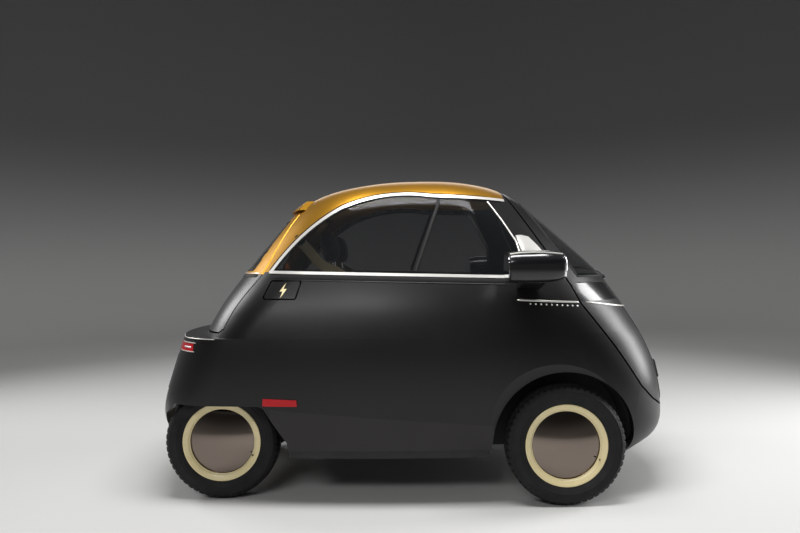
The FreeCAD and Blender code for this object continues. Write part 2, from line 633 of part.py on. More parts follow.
def make_rear_axle():
    """Swing axle: a tube on brackets under the bay, trailing arms and the wheels' stubs."""
    x = value("front_axle_x") - value("wheelbase")
    z = value("tyre_radius")
    arm_y = value("rear_track") / 2 - value("tyre_width") / 2 - 55
    stub = value("hub_radius") - value("hub_clearance")
    tube_x, tube_z = x + 230, z + 10
    tube = rod((tube_x, -arm_y, tube_z), (tube_x, arm_y, tube_z), 30)
    arm = beam((tube_x, arm_y, tube_z), (x - 20, arm_y, z), 36, 64)
    shaft = rod((x, arm_y - 10, z), (x, value("rear_track") / 2 + 30, z), stub)
    bracket = block((tube_x - 16, arm_y - 110, tube_z), (tube_x + 16, arm_y - 80, value("deck_height")))
    feature("rear_axle", tube.fuse([both_sides(arm), both_sides(shaft), both_sides(bracket)]).removeSplitter())


# ---------------------------------------------------------------- floor and cabin

def make_floor():
    """Flat floor inside the sills, open over the front wheels and under the rear bay."""
    base = value("body_base")
    low = value("floor_height")
    x = value("front_axle_x")
    well = value("front_arch_radius") + value("liner_skin")
    rear_end = value("bay_front") - value("deck_skin")
    slab = body_solid(LOWER_SECTIONS, 20.0).common(block((rear_end, -FAR, low), (930, FAR, base)))
    nose = body_solid(LOWER_SECTIONS, value("wall") + 1).common(block((930, -FAR, low), (FAR, FAR, base)))
    wells = both_sides(block((x - well, value("front_well_y"), 0), (x + well, FAR, FAR)))
    pads = [both_sides(jack_pad(value("jack_pad_front"))), both_sides(jack_pad(value("jack_pad_rear")))]
    feature("floor_pan", slab.fuse([nose]).cut(wells).fuse(pads).removeSplitter())


def jack_pad(x):
    """A pad under the floor for a jack, on the left."""
    half_length, half_width = value("jack_pad_length / 2"), value("jack_pad_width / 2")
    y, low = value("jack_pad_y"), value("floor_height")
    return block((x - half_length, y - half_width, low - value("jack_pad_drop")),
                 (x + half_length, y + half_width, low))


def make_rear_bay(cabin):
    """Luggage floor with the rear wheelhouses and the wall behind the bench."""
    base = value("body_base")
    deck = value("deck_height")
    house = value("wheelhouse_height")
    skin = value("deck_skin")
    well_y = value("rear_well_y")
    front = value("bay_front")
    pieces = [block((-FAR, well_y, house), (front, FAR, house + skin)),
              block((-FAR, well_y, deck), (front, well_y + skin, house + skin)),
              block((front - skin, well_y, base), (front, FAR, house + skin))]
    bay = block((-FAR, -well_y - skin, deck), (front, well_y + skin, deck + skin))
    bay = bay.fuse([block((front - skin, -well_y, base), (front, well_y, deck + skin))]
                   + [both_sides(piece) for piece in pieces])
    feature("rear_bay", bay.common(cabin).removeSplitter())


def make_wheelhouses(cabin):
    """Half-round housings over the front wheels with their inner walls."""
    inner_y = value("front_well_y")
    skin = value("liner_skin")
    ring = front_arch(skin, inner_y).cut(front_arch(0.0, inner_y))
    cheek = front_arch(skin, inner_y - skin, inner_y)
    above = block((-FAR, 0, value("body_base")), (FAR, FAR, FAR))
    feature("front_wheelhouses", pair(ring.fuse([cheek]).common(above).common(cabin).removeSplitter()))


def make_cabin():
    """Bench with its frame, battery under it and the rear motor."""
    frame_height = "seat_height - seat_cushion - body_base - battery_height"
    box("bench_cushion", "seat_depth", "seat_width", "seat_cushion", "seat_front - seat_depth", "-seat_width / 2",
        "seat_height - seat_cushion")
    back = box("bench_back", "back_thickness", "seat_width - 40", "back_height", "seat_front - seat_depth - 112",
               "20 - seat_width / 2", "seat_height - 40")
    back.Placement = Placement(back.Placement.Base, Rotation(Vector(0, 1, 0), -value("back_lean")))
    make_restraints()
    box("battery", "520", "600", "battery_height", "seat_front - 540", "-300", "body_base")
    box("seat_frame", "seat_depth", "seat_width - 200", frame_height, "seat_front - seat_depth",
        "100 - seat_width / 2", "body_base + battery_height")
    box("motor", "200", "300", "180", "front_axle_x - wheelbase - 110", "-150", "deck_height - 180")


def make_restraints():
    """Head restraints on posts along the bench back's lean."""
    height, depth = value("back_height"), value("back_thickness")
    thickness, tall, wide = value("restraint_thickness"), value("restraint_height"), value("restraint_width")
    middle = depth / 2
    pad = Part.makeBox(thickness, wide, tall, Vector(middle - thickness / 2, -wide / 2, height + 25))
    pieces = [pad.makeFillet(25, pad.Edges)]
    for post_y in (-60, 60):
        pieces.append(Part.makeCylinder(6, 35, Vector(middle, post_y, height)))
    restraint = pieces[0].fuse(pieces[1:])
    foot = Vector(value("seat_front - seat_depth - 112"), value("restraint_y"), value("seat_height - 40"))
    restraint.Placement = Placement(foot, Rotation(Vector(0, 1, 0), -value("back_lean")))
    feature("head_restraints", pair(restraint))


def make_dash_bar(cabin):
    """The bar across the inside of the door."""
    x, z = value("dash_x"), value("dash_z")
    bar = rod((x, -FAR, z), (x, FAR, z), value("dash_radius"))
    feature("dash_bar", bar.common(cabin))


def make_charge_socket(cabin):
    """Plate behind the charge flap's opening, with the round socket on it."""
    x, z = value("socket_x"), value("socket_z")
    mouth, depth, bore = value("socket_mouth"), value("socket_depth"), value("socket_bore")
    plate = block((x - 100, -FAR, z - 58), (x + 100, -300, z + 58)).common(cabin)
    plate = plate.cut(body_solid(UPPER_SECTIONS, value("wall") + 10))
    barrel = rod((x, 14 + depth - mouth, z), (x, -mouth, z), bore + value("socket_wall"))
    hole = rod((x, depth - mouth, z), (x, -mouth - 1, z), bore)
    feature("charge_socket", plate.fuse([barrel]).cut(hole).removeSplitter())


def make_steering():
    """Column fixed to the floor and the wheel that turns at its top."""
    y = value("steer_wheel_y")
    hub = Vector(280, y, 830)
    foot = Vector(680, y, value("body_base"))
    axis = (hub - foot).normalize()
    column = rod(tuple(foot - axis * 60), tuple(hub - axis * 20), 22)
    feature("steering_column", column.common(block((0, 0, value("body_base")), (FAR, FAR, FAR))))
    reach = value("steer_wheel_radius")
    pieces = [Part.makeCylinder(42, 30, Vector(0, 0, -15))]
    for turn in (60, 180, 300):
        spoke = Part.makeBox(reach, 26, 10, Vector(0, -13, -5))
        spoke.rotate(Vector(0, 0, 0), Vector(0, 0, 1), turn)
        pieces.append(spoke)
    wheel = Part.makeTorus(reach, value("steer_wheel_grip")).fuse(pieces).removeSplitter()
    feature("steering_wheel", wheel, Placement(hub + axis, Rotation(Vector(0, 0, 1), axis)))


# ---------------------------------------------------------------- lamps

def pod_wire(x, y, z, width, height):
    """A rounded rectangle across the car."""
    radius = 0.42 * min(width, height)
    corners = [Vector(x, y + a * width / 2, z + b * height / 2) for a, b in ((-1, -1), (1, -1), (1, 1), (-1, 1))]
    edges = []
    for index, corner in enumerate(corners):
        before = (corners[index - 1] - corner).normalize()
        after = (corners[(index + 1) % 4] - corner).normalize()
        middle = corner + (before + after) * radius * (1 - math.sqrt(0.5))
        edges.append(Part.Arc(corner + before * radius, middle, corner + after * radius).toShape())
        following = corners[(index + 1) % 4]
        edges.append(Part.LineSegment(corner + after * radius, following - after * radius).toShape())
    return Part.Wire(edges)


def make_pods(outer):
    """Headlamp and mirror pods on stalks beside the front pillars, with their lamps and mirror glasses."""
    x, y, z = value("pod_x"), value("pod_y"), value("pod_z")
    length, width, height = value("pod_length"), value("pod_width"), value("pod_height")
    # share of the length from the rear, of the width and of the height
    stations = [(0.0, 0.94, 0.90), (0.18, 1.0, 0.98), (0.5, 1.0, 1.0), (0.82, 0.93, 0.95), (1.0, 0.74, 0.76)]
    start = x - length / 2
    wires = [pod_wire(start + share * length, y, z, width * wide, height * high) for share, wide, high in stations]
    pod = Part.makeLoft(wires, True, False, False)
    lens = Part.Face(pod_wire(x + length / 2 - 10, y, z, width * 0.6, height * 0.6)).extrude(Vector(12, 0, 0))
    mirror = Part.Face(pod_wire(start - 2, y, z, width * 0.82, height * 0.76)).extrude(Vector(8, 0, 0))
    stalk = beam((x - 6, y - 175, z - 96), (x, y - 20, z - height / 2 + 8), 96, 26)
    housing = pod.fuse([stalk]).cut([outer, lens, mirror]).removeSplitter()
    feature("lamp_pods", pair(housing))
    feature("pod_lenses", pair(lens))
    feature("pod_mirrors", pair(mirror))


def check_and_export():
    """Stop on anything broken, then write every sub-part."""
    document.recompute()
    for item in document.Objects:
        if "Invalid" in item.State or "Error" in item.State:
            raise RuntimeError(f"{item.Label} did not build: {item.State}")
    for item in PARTS:
        if item.Shape.isNull() or not item.Shape.isValid():
            raise RuntimeError(f"{item.Label} has no sound shape")
    os.makedirs("parts", exist_ok=True)
    for item in PARTS:
        item.Shape.exportStep(f"parts/{item.Label}.step")


fill_sheet()
body_outer, cabin_form = make_body()
make_wheels()
make_knuckles()
make_front_axle()
make_rear_axle()
make_floor()
make_rear_bay(cabin_form)
make_wheelhouses(cabin_form)
make_cabin()
make_dash_bar(cabin_form)
make_charge_socket(cabin_form)
make_steering()
make_pods(body_outer)
check_and_export()
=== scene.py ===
"""Looks of the electric bubble microcar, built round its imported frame. Metres, +X forward, +Z up."""
import math

import bmesh
import bpy
from mathutils import Matrix, Vector
from mathutils.bvhtree import BVHTree


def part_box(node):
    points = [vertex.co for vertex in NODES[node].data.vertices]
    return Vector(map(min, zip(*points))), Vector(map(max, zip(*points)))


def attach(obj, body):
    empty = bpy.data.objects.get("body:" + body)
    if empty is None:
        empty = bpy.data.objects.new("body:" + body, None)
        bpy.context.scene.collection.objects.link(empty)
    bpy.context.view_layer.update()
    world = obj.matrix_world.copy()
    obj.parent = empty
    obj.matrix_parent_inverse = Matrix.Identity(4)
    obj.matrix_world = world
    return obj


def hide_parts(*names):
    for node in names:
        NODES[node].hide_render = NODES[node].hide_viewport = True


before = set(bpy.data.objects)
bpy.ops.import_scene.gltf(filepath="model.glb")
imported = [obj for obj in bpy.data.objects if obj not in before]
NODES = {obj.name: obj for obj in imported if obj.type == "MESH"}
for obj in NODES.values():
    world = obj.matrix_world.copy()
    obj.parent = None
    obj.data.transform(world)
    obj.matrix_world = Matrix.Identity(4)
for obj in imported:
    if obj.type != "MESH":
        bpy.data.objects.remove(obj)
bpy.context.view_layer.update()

FRONT_X, REAR_X, AXLE_Z = 0.67, -0.898, 0.2665
FRONT_Y, REAR_Y = 0.6275, 0.4375
TYRE_RADIUS, TYRE_HALF = 0.2665, 0.0725
DISC_RADIUS = 0.151
DRIVER_Y = 0.28
SIDES = (("left", 1), ("right", -1))


def placed(name, data):
    """A new object of a mesh, light or camera, in the scene."""
    item = bpy.data.objects.new(name, data)
    bpy.context.scene.collection.objects.link(item)
    return item


# ---- materials

def add(tree, kind, **values):
    """A node with its settings, and its inputs as numbers or as the outputs they are linked to."""
    node = tree.nodes.new(kind)
    for name, value in values.items():
        if hasattr(node, name):
            setattr(node, name, value)
        elif isinstance(value, bpy.types.NodeSocket):
            tree.links.new(value, node.inputs[name.replace("_", " ")])
        else:
            node.inputs[name.replace("_", " ")].default_value = value
    return node


def colour_sockets(mix):
    """The two colour inputs and the colour output of a mix node."""
    inputs = [item for item in mix.inputs if item.type == "RGBA"]
    outputs = [item for item in mix.outputs if item.type == "RGBA"]
    return inputs[0], inputs[1], outputs[0]


def surface(name, colour, rough, metallic=0.0, vary=0.15, patch=3.0, spread=0.08, bump=0.05, grain=700.0,
            second=None, **sockets):
    """A procedural material: mottled colour, uneven roughness and a fine bump, all in object coordinates."""
    material = bpy.data.materials.new(name)
    material.use_nodes = True
    tree = material.node_tree
    shader = tree.nodes["Principled BSDF"]
    place = add(tree, "ShaderNodeTexCoord").outputs["Object"]
    large = add(tree, "ShaderNodeTexNoise", Vector=place, Scale=patch, Detail=6.0, Roughness=0.6).outputs["Fac"]
    fine = add(tree, "ShaderNodeTexNoise", Vector=place, Scale=grain, Detail=3.0, Roughness=0.55).outputs["Fac"]
    mix = add(tree, "ShaderNodeMix", data_type="RGBA", Factor=large)
    other = second or tuple(channel * (1 - vary) for channel in colour)
    first, last, result = colour_sockets(mix)
    first.default_value = (*colour, 1)
    last.default_value = (*other, 1)
    tree.links.new(result, shader.inputs["Base Color"])
    ramp = add(tree, "ShaderNodeMapRange", Value=large, From_Min=0.3, From_Max=0.7,
               To_Min=max(rough - spread, 0.01), To_Max=rough + spread)
    tree.links.new(ramp.outputs["Result"], shader.inputs["Roughness"])
    if bump:
        relief = add(tree, "ShaderNodeBump", Height=fine, Strength=bump, Distance=0.0006)
        tree.links.new(relief.outputs["Normal"], shader.inputs["Normal"])
    shader.inputs["Metallic"].default_value = metallic
    for socket, value in sockets.items():
        shader.inputs[socket.replace("_", " ")].default_value = value
    material.diffuse_color = (*colour, 1)
    return material


def woven(name, colour, second, threads=260.0, sheen=0.35):
    """Seat cloth: mottled colour and crossing threads in relief."""
    material = surface(name, colour, 0.85, vary=0.3, patch=14.0, spread=0.05, bump=0.0, second=second,
                       Sheen_Weight=sheen, Sheen_Roughness=0.45)
    tree = material.node_tree
    shader = tree.nodes["Principled BSDF"]
    place = add(tree, "ShaderNodeTexCoord").outputs["Object"]
    waves = [add(tree, "ShaderNodeTexWave", bands_direction=direction, Vector=place, Scale=threads / 6.0,
                 Distortion=0.4, Detail=1.0).outputs["Fac"] for direction in "XYZ"]
    total = waves[0]
    for wave in waves[1:]:
        both = add(tree, "ShaderNodeMath", operation="ADD")
        tree.links.new(total, both.inputs[0])
        tree.links.new(wave, both.inputs[1])
        total = both.outputs[0]
    relief = add(tree, "ShaderNodeBump", Height=total, Strength=0.35, Distance=0.0008)
    tree.links.new(relief.outputs["Normal"], shader.inputs["Normal"])
    return material


LOOK = {
    "black": surface("satin_black_paint", (0.0055, 0.0052, 0.0052), 0.36, vary=0.3, spread=0.03, bump=0.03,
        grain=1500.0, Coat_Weight=0.08, Coat_Roughness=0.3, Specular_IOR_Level=0.32),
    "gold": surface("metallic_gold_paint", (0.46, 0.23, 0.016), 0.44, metallic=0.9, patch=5.0,
        second=(0.39, 0.19, 0.012), spread=0.04, bump=0.12, grain=2600.0, Coat_Weight=0.12, Coat_Roughness=0.2),
    "sill": surface("sill_paint", (0.026, 0.024, 0.024), 0.5, vary=0.25, spread=0.05, bump=0.15, grain=900.0,
        Specular_IOR_Level=0.3),
    "glass": surface("tinted_glass", (0.012, 0.013, 0.014), 0.03, vary=0.2, spread=0.012, bump=0.0, Alpha=0.4,
        Specular_IOR_Level=0.2),
    "gloss": surface("gloss_black", (0.006, 0.006, 0.007), 0.2, vary=0.3, spread=0.03, bump=0.02, Coat_Weight=0.3,
        Coat_Roughness=0.05),
    "chrome": surface("polished_chrome", (0.82, 0.82, 0.83), 0.05, metallic=1.0, vary=0.06, spread=0.02, bump=0.01),
    # This look makes the real bright trim, and also the plate on each sail, which is a painted highlight.
    "bright": surface("bright_trim_and_painted_highlight", (0.86, 0.84, 0.8), 0.32, metallic=0.6, vary=0.05, spread=0.03, bump=0.02,
        Coat_Weight=0.3, Coat_Roughness=0.05),
    # The discs' chrome is dark and brownish in its colour: a painted reflection of dark brown surroundings, not the
    # discs' own colour.
    "disc": surface("wheel_disc_chrome_painted_dark_reflection", (0.22, 0.18, 0.155), 0.07, metallic=1.0, vary=0.1, patch=9.0, spread=0.02,
        bump=0.012, grain=300.0),
    "cream": surface("cream_enamel", (0.8, 0.68, 0.38), 0.28, vary=0.07, patch=12.0, spread=0.05, bump=0.05,
        grain=1200.0, Coat_Weight=0.4, Coat_Roughness=0.08),
    "rubber": surface("tyre_rubber", (0.011, 0.011, 0.012), 0.72, vary=0.35, patch=18.0, spread=0.1, bump=0.4,
        grain=900.0, Specular_IOR_Level=0.3),
    "seal": surface("black_seal", (0.006, 0.006, 0.006), 0.6, vary=0.2, spread=0.05, bump=0.2, grain=800.0,
        Specular_IOR_Level=0.25),
    "chassis": surface("matt_black_plastic", (0.018, 0.018, 0.018), 0.7, vary=0.3, patch=10.0, bump=0.5, grain=420.0),
    "steel": surface("machined_steel", (0.34, 0.34, 0.35), 0.38, metallic=1.0, patch=20.0, bump=0.15, grain=900.0),
    "cast": surface("cast_aluminium", (0.42, 0.42, 0.43), 0.5, metallic=1.0, patch=30.0, bump=0.6, grain=500.0),
    "red": surface("red_lens", (0.5, 0.004, 0.01), 0.3, vary=0.2, patch=60.0, spread=0.04, bump=0.25,
        grain=260.0, Coat_Weight=0.15, Coat_Roughness=0.05, Specular_IOR_Level=0.25),
    "lens": surface("clear_lens", (0.8, 0.83, 0.86), 0.03, vary=0.04, patch=40.0, spread=0.01, bump=0.1,
        grain=200.0, Alpha=0.35, Coat_Weight=1.0, Coat_Roughness=0.01),
    # This look is for the lamp cells, and also for the thin white strip along each tail lamp, which is a painted
    # highlight on the red lens.
    "bulb_and_highlight": surface("led_face_and_painted_highlight", (0.85, 0.87, 0.9), 0.2, vary=0.1, patch=60.0, spread=0.05, bump=0.1, grain=600.0,
        Coat_Weight=0.5),
    "mirror": surface("mirror_glass", (0.8, 0.82, 0.84), 0.02, metallic=1.0, vary=0.04, spread=0.01, bump=0.0),
    "cloth": woven("seat_cloth", (0.03, 0.03, 0.033), (0.018, 0.018, 0.02)),
    "belt": woven("belt_webbing", (0.86, 0.74, 0.46), (0.74, 0.62, 0.36), threads=500.0, sheen=0.2),
    "plate": surface("blank_plate", (0.6, 0.6, 0.58), 0.45, vary=0.05, patch=20.0, spread=0.05, bump=0.04),
    "leather": surface("black_leather", (0.016, 0.015, 0.015), 0.5, vary=0.3, patch=12.0, bump=0.8, grain=480.0),
    "carpet": surface("carpet", (0.022, 0.022, 0.024), 0.95, vary=0.4, patch=60.0, bump=1.0, grain=520.0,
        Sheen_Weight=0.3),
}
NODES_BY_LOOK = {
    "black": "body_side_left body_side_right tail_panel front_bumper door_panel tailgate_panel charge_flap",
    "gold": "roof_panel",
    "sill": "sills",
    "glass": "side_windows windscreen rear_window",
    "bright": "window_trim",
    "gloss": "lamp_pods light_bar",
    "lens": "pod_lenses",
    "mirror": "pod_mirrors",
    "chassis": "floor_pan front_wheelhouses seat_frame steering_column charge_socket",
    "carpet": "rear_bay",
    "steel": "front_axle rear_axle knuckle_left knuckle_right",
    "cast": "motor battery",
    "cloth": "bench_cushion bench_back head_restraints",
    "red": "tail_lamps side_reflectors",
    "leather": "dash_bar steering_wheel",
}


def dress_nodes():
    """Every node of the frame gets its material; the wheels' nodes go by the first word of their names."""
    looks = {name: look for look, names in NODES_BY_LOOK.items() for name in names.split()}
    wheel_looks = {"tyre": "rubber", "rim": "cream", "disc": "disc"}
    for name, item in NODES.items():
        look = looks.get(name) or wheel_looks[name.split("_")[0]]
        item.data.materials.clear()
        item.data.materials.append(LOOK[look])


dress_nodes()


# ---- mesh makers


def piece(name, points, faces, look, body, crease=0.6, slot=None):
    """A mesh object in the car's frame, smooth except at edges sharper than crease radians."""
    mesh = bpy.data.meshes.new(name)
    mesh.from_pydata([tuple(point) for point in points], [], faces)
    work = bmesh.new()
    work.from_mesh(mesh)
    bmesh.ops.remove_doubles(work, verts=work.verts, dist=1e-6)
    bmesh.ops.recalc_face_normals(work, faces=work.faces)
    for face in work.faces:
        face.smooth = True
    for edge in work.edges:
        edge.smooth = len(edge.link_faces) == 2 and edge.calc_face_angle(0.0) < crease
    work.to_mesh(mesh)
    work.free()
    item = placed(name, mesh)
    mesh.materials.append(LOOK[look])
    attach(item, body)
    return item


def raw_mesh(work):
    """The points and faces of a bmesh, which is freed."""
    points = [vertex.co.copy() for vertex in work.verts]
    faces = [[vertex.index for vertex in face.verts] for face in work.faces]
    work.free()
    return points, faces


def rings(rows, open_rows=False, joined=False):
    """Points and faces of rows, each closed on itself unless open; joined ties the last row to the first."""
    count = len(rows[0])
    points = [point for row in rows for point in row]
    faces = []
    for i in range(len(rows) if joined else len(rows) - 1):
        j = (i + 1) % len(rows)
        for k in range(count - 1 if open_rows else count):
            m = (k + 1) % count
            faces.append((i * count + k, i * count + m, j * count + m, j * count + k))
    return points, faces


def loft(name, rows, look, body, crease=0.6, caps=(True, True), slot=None):
    """A piece made of closed rows, its first and last row filled where caps says so."""
    points, faces = rings(rows)
    count = len(rows[0])
    if caps[0]:
        faces.append(tuple(range(count)))
    if caps[1]:
        faces.append(tuple((len(rows) - 1) * count + k for k in reversed(range(count))))
    return piece(name, points, faces, look, body, crease, slot)


def turns(count):
    """Equal angles round a full turn."""
    return [2 * math.pi * step / count for step in range(count)]


def rounded(angle, power):
    """A point of the unit superellipse, between a circle at power 2 and a square."""
    across, up = math.cos(angle), math.sin(angle)
    return math.copysign(abs(across) ** (2 / power), across), math.copysign(abs(up) ** (2 / power), up)


def lathe(name, profile, place, look, body, segments=128, crease=0.6, dent=None):
    """A turned piece about the local Y of place: (radius, offset) corners."""
    rows = []
    for step, angle in enumerate(turns(segments)):
        row = []
        for index, (radius, offset) in enumerate(profile):
            r = radius - (dent(index, step) if dent else 0.0)
            row.append(place @ Vector((r * math.cos(angle), offset, r * math.sin(angle))))
        rows.append(row)
    points, faces = rings(rows, joined=True)
    return piece(name, points, faces, look, body, crease)


def tree_of(*names):
    """A ray target made of several nodes."""
    points, faces = [], []
    for name in [name for name in names if name in NODES]:
        mesh = NODES[name].data
        base = len(points)
        points += [vertex.co.copy() for vertex in mesh.vertices]
        faces += [[base + index for index in polygon.vertices] for polygon in mesh.polygons]
    return BVHTree.FromPolygons(points, faces)


SIDE_SKIN = {side: tree_of(f"body_side_{name}", "side_windows", "door_panel", "light_bar", "sills", "front_bumper",
                           "tail_panel", "tailgate_panel", "roof_panel", "charge_flap", "windscreen", "tail_lamps")
             for side, name in ((1, "left"), (-1, "right"))}
NOSE_SKIN = tree_of("door_panel", "front_bumper", "windscreen", "light_bar")
FRONT_SKIN = tree_of("door_panel", "light_bar", "windscreen", "front_bumper", "body_side_left", "body_side_right")
TAIL_SKIN = tree_of("tail_panel", "tailgate_panel", "rear_window", "roof_panel", "tail_lamps")
SIDE_START, END_START, ROUND_START = 1.2, 1.6, 1.6
ROUND_MIDDLE = 0.3
TAIL_CORNER_X, TAIL_CORNER_Y = -0.8, 0.3


def hit(skin, start, way):
    """The skin met from start against way, with its outward normal, or None."""
    spot, normal, _, _ = skin.ray_cast(start, -way)
    if spot is None:
        return None
    return spot, normal if normal.dot(way) > 0 else -normal


def side_spot(x, z, side):
    """The skin beside (x, z)."""
    return hit(SIDE_SKIN[side], Vector((x, side * SIDE_START, z)), Vector((0, side, 0)))


def end_spot(y, z, front=True):
    """The skin ahead of or behind (y, z)."""
    way = 1 if front else -1
    return hit(NOSE_SKIN if front else TAIL_SKIN, Vector((way * END_START, y, z)), Vector((way, 0, 0)))


def round_spot(degrees, z):
    """The skin of the front half at a height, seen at an angle off straight ahead, + to the left."""
    angle = math.radians(degrees)
    way = Vector((math.cos(angle), math.sin(angle), 0))
    return hit(FRONT_SKIN, Vector((ROUND_MIDDLE, 0, z)) + way * ROUND_START, way)


def tail_line(side, z, start, end, count=40):
    """Spots round a rear corner at a height; start and end are shares of the way from the middle to the side."""
    spots = []
    for step in range(count + 1):
        angle = math.radians(180 - side * 90 * (start + (end - start) * step / count))
        way = Vector((math.cos(angle), math.sin(angle), 0))
        spots.append(hit(TAIL_SKIN, Vector((TAIL_CORNER_X, side * TAIL_CORNER_Y, z)) + way * SIDE_START, way))
    return spots


def nose_spot(x, z, side):
    """The point of the door's skin at a distance forward, on one side of the middle."""
    near, far = 0.04, 0.6
    for _ in range(14):
        middle = (near + far) / 2
        found = end_spot(side * middle, z)
        if found and found[0].x > x:
            near = middle
        else:
            far = middle
    return end_spot(side * near, z)


def smooth_spots(spots, passes=3):
    """Evens out the normals along a line of skin spots."""
    places = [spot for spot, normal in spots]
    normals = [normal.copy() for spot, normal in spots]
    for _ in range(passes):
        normals = [(normals[max(i - 1, 0)] + normals[i] * 2 + normals[min(i + 1, len(normals) - 1)]).normalized()
                   for i in range(len(normals))]
    return list(zip(places, normals))


def ribbon(name, spots, width, height, look, body, sink=0.003, taper=0.0):
    """A rounded strip laid along skin spots, leaving out places where no skin was met."""
    spots = smooth_spots([spot for spot in spots if spot])
    outline = [(-0.5, None), (-0.5, 0.45), (-0.36, 0.9), (0.0, 1.0), (0.36, 0.9), (0.5, 0.45), (0.5, None)]
    rows = []
    last = len(spots) - 1
    for index, (spot, normal) in enumerate(spots):
        ahead = spots[min(index + 1, last)][0] - spots[max(index - 1, 0)][0]
        across = ahead.cross(normal).normalized()
        share = 1.0
        if taper:
            edge = min(index, last - index) / max(last * taper, 1)
            share = min(1.0, 0.15 + 0.85 * math.sin(min(edge, 1.0) * math.pi / 2))
        row = []
        for over, up in outline:
            lift = -sink if up is None else height * up * share
            row.append(spot + across * (over * width * share) + normal * lift)
        rows.append(row)
    return loft(name, rows, look, body, crease=0.9)


def side_line(corners, side, count):
    """Skin spots along a side view line of (x, z) corners."""
    lengths = [math.dist(a, b) for a, b in zip(corners, corners[1:])]
    total = sum(lengths)
    spots = []
    for step in range(count + 1):
        run = total * step / count
        index = 0
        while index < len(lengths) - 1 and run > lengths[index]:
            run -= lengths[index]
            index += 1
        share = min(run / lengths[index], 1.0)
        x = corners[index][0] + share * (corners[index + 1][0] - corners[index][0])
        z = corners[index][1] + share * (corners[index + 1][1] - corners[index][1])
        spots.append(side_spot(x, z, side))
    return spots


def tube(name, points, radius, look, body, segments=12, squash=1.0, slot=None):
    """A round bar along points."""
    points = [Vector(point) for point in points]
    rows = []
    last = len(points) - 1
    reference = Vector((0, 0, 1))
    for index, point in enumerate(points):
        ahead = (points[min(index + 1, last)] - points[max(index - 1, 0)]).normalized()
        across = ahead.cross(reference)
        if across.length < 1e-3:
            across = ahead.cross(Vector((1, 0, 0)))
        across.normalize()
        reference = across.cross(ahead).normalized()
        rows.append([point + (across * math.cos(a) + reference * math.sin(a) * squash) * radius
                     for a in turns(segments)])
    return loft(name, rows, look, body, slot=slot)


# ---- wheels

PITCHES, STEPS = 54, 8    # tread blocks round a tyre, corners along one block
GROOVE = 0.0065
RIM_SEGMENTS = 144


def tyre_profile():
    """Section of a tyre as (radius, offset, part): tread, shoulders, walls with their ribs, beads and the inside."""
    half = TYRE_HALF
    tread = [(0.0025, "groove"), (0.003, "block"), (0.024, "block"), (0.0245, "groove"), (0.0295, "groove"),
             (0.03, "block"), (0.046, "block")]
    outer = []
    for offset, part in [(-offset, part) for offset, part in reversed(tread)] + tread:
        crown = TYRE_RADIUS - 0.0035 * (offset / 0.046) ** 2
        outer.append((crown - (GROOVE if part == "groove" else 0.0), offset, part))
    shoulder = [(0.258, 0.056), (0.25, 0.064)]
    wall = [(0.244, 0.0682), (0.243, 0.07), (0.24, 0.0706), (0.2388, 0.0694), (0.23, half - 0.0012),
            (0.222, half), (0.213, half - 0.0004), (0.212, half), (0.2104, half - 0.0002),
            (0.2094, half - 0.0016), (0.202, 0.069), (0.195, 0.065), (0.19, 0.061), (0.1885, 0.06),
            (0.186, 0.059), (0.1835, 0.057), (0.17, 0.047), (0.193, 0.047), (0.252, 0.045)]
    side = [(*corner, "shoulder") for corner in shoulder] + [(*corner, "wall") for corner in wall]
    return [(radius, -offset, part) for radius, offset, part in reversed(side)] + outer + side


def wheel_place(centre, side):
    """Where a wheel's outlines go, +offset outward."""
    return Matrix.Translation(centre) @ Matrix.Diagonal((1, side, 1, 1))


def make_tyre(name, place, body):
    """A tyre with cut tread blocks."""
    profile = tyre_profile()

    def dent(index, step):
        """How deep the tread is cut at a corner of the section and a step round the tyre."""
        radius, offset, part = profile[index]
        phase = (step + (STEPS // 2 if offset > 0 else 0)) % STEPS
        if part == "block" and abs(offset) > 0.028 and phase in (0, 1):
            return 0.006
        if part == "shoulder" and phase in (0, 1):
            return 0.0035 if radius > 0.255 else 0.0015
        if part == "block" and 0.003 < abs(offset) < 0.025 and phase == 4:
            return 0.0045
        return 0.0

    outline = [(radius, offset) for radius, offset, part in profile]
    return lathe(name, outline, place, "rubber", body, segments=PITCHES * STEPS, crease=0.7, dent=dent)


